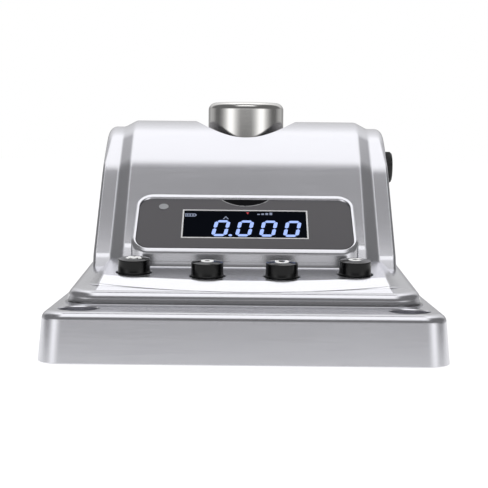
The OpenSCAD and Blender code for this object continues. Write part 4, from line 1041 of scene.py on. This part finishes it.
def step_between(value, start, end):
    """0 before start and 1 after end, with a smooth rise; start may be the larger one."""
    return ramp(value, min(start, end), max(start, end), float(start > end), float(start < end),
                "SMOOTHSTEP")

def blend_values(share, first, second):
    return put("Mix", {"data_type": "FLOAT"}, _0=share, _2=first, _3=second)

def ray_kinds():
    """1 for rays straight from the camera, and 1 for rays that metal or glass has sent on."""
    paths = put("LightPath").outputs
    return paths["Is Camera Ray"], maths("MAXIMUM", paths["Is Glossy Ray"], paths["Is Transmission Ray"])

world = bpy.data.worlds.new("studio_room")
bpy.context.scene.world = world
blank_tree(world)
x, y, z = split(put("TexCoord").outputs["Generated"])
aside, to_front = maths("ABSOLUTE", x), times(y, -1.0)
round_angle = maths("DIVIDE", maths("ARCTAN2", aside, to_front), pi)
over_angle = maths("DIVIDE", maths("ARCTAN2", maths("MAXIMUM", z, 0.0), to_front), pi)
walls = times_plus(levels(round_angle, FACING), step_between(z, 0.01, 0.06), levels(round_angle, WALLS))
past_side = times_plus(maths("MAXIMUM", y, 0.0), -0.4, aside)
ceiling = blend_values(step_between(past_side, 0.22, 0.5), levels(over_angle, CEILING), PAST_THE_SIDES)
drawn = blend_values(step_between(z, 0.12, 0.30), walls, ceiling)
bright = times(drawn, ROOM_LIGHT)
from_camera, mirrored = ray_kinds()
behind = times(step_between(round_angle, 0.93, 0.97), step_between(z, 0.05, 0.01))
white_part = maths("MAXIMUM", times(behind, mirrored), from_camera)
light = put("Background", Color=(1, 1, 1, 1), Strength=blend_values(white_part, bright, 1.0))
link(light, put("OutputWorld").inputs[0])
print("room drawn with", len(world.node_tree.nodes), "nodes")

# %% [markdown]
# ## The floor, a flag and one lamp
# The floor is matt and pale. For rays from the camera and from mirrors it also glows to
# just under white, so that it blends into the background and still keeps the object's
# soft shadow. A grey flag hangs over the sloped face, which mirrors it and so stays darker
# than the edges round it. The lamp is large and hangs to the left in front, and gives the
# matt parts a little direction.

# %% Floor, flag and lamp
FLOOR_GLOW, FLOOR_ENDS, LAMP_SIZE, LAMP_WATTS = 0.84, (0.40, 0.62), 0.7, 3.0
floor = block("floor", (-9000, -9000, -30), (9000, 9000, -0.02))
pale = bpy.data.materials.new("pale_floor")
blank_tree(pale)
place = put("TexCoord").outputs["Object"]
matt = put("BsdfDiffuse", Color=ramp(noise(place, 900.0), 0.0, 1.0, 0.30, 0.34))
glow = put("Emission", Color=(1, 1, 1, 1), Strength=FLOOR_GLOW)
both = put("AddShader", _0=matt, _1=glow)
dull = put("BsdfDiffuse", Color=(0.55, 0.55, 0.55, 1))
from_camera, mirrored = ray_kinds()
from_middle = put("VectorMath", {"operation": "LENGTH"}, _0=place).outputs["Value"]
far = times(step_between(from_middle, *FLOOR_ENDS), mirrored)
clear = put("BsdfTransparent")
edged = put("MixShader", _0=far, _1=both, _2=clear)
chosen = put("MixShader", _0=maths("MAXIMUM", from_camera, mirrored), _1=dull,
             _2=edged)
link(chosen, put("OutputMaterial").inputs["Surface"])
floor.data.materials.append(pale)

flag = block("overhead_flag", (-130, -46, 300), (130, 33, 302))
cloth = bpy.data.materials.new("grey_cloth")
blank_tree(cloth)
weave = noise(put("TexCoord").outputs["Object"], 300.0)
grey = put("Emission", Color=(1, 1, 1, 1), Strength=ramp(weave, 0.0, 1.0, 0.26, 0.28))
link(grey, put("OutputMaterial").inputs["Surface"])
flag.data.materials.append(cloth)
flag.visible_camera = flag.visible_diffuse = flag.visible_shadow = False

lamp = bpy.data.objects.new("front_lamp", bpy.data.lights.new("front_lamp", "AREA"))
lamp.data.shape, lamp.data.size, lamp.data.energy = "DISK", LAMP_SIZE, LAMP_WATTS
lamp.location = (-0.75, -0.75, 0.95)
lamp.rotation_euler = (Vector((0, 0, 0.05)) - lamp.location).to_track_quat("-Z", "Y").to_euler()
lamp.visible_camera = lamp.visible_glossy = False
bpy.context.collection.objects.link(lamp)
print("floor, flag and a lamp of", round(lamp.data.energy, 1), "W")

# %% Finish
bpy.context.scene.view_settings.view_transform = "Standard"
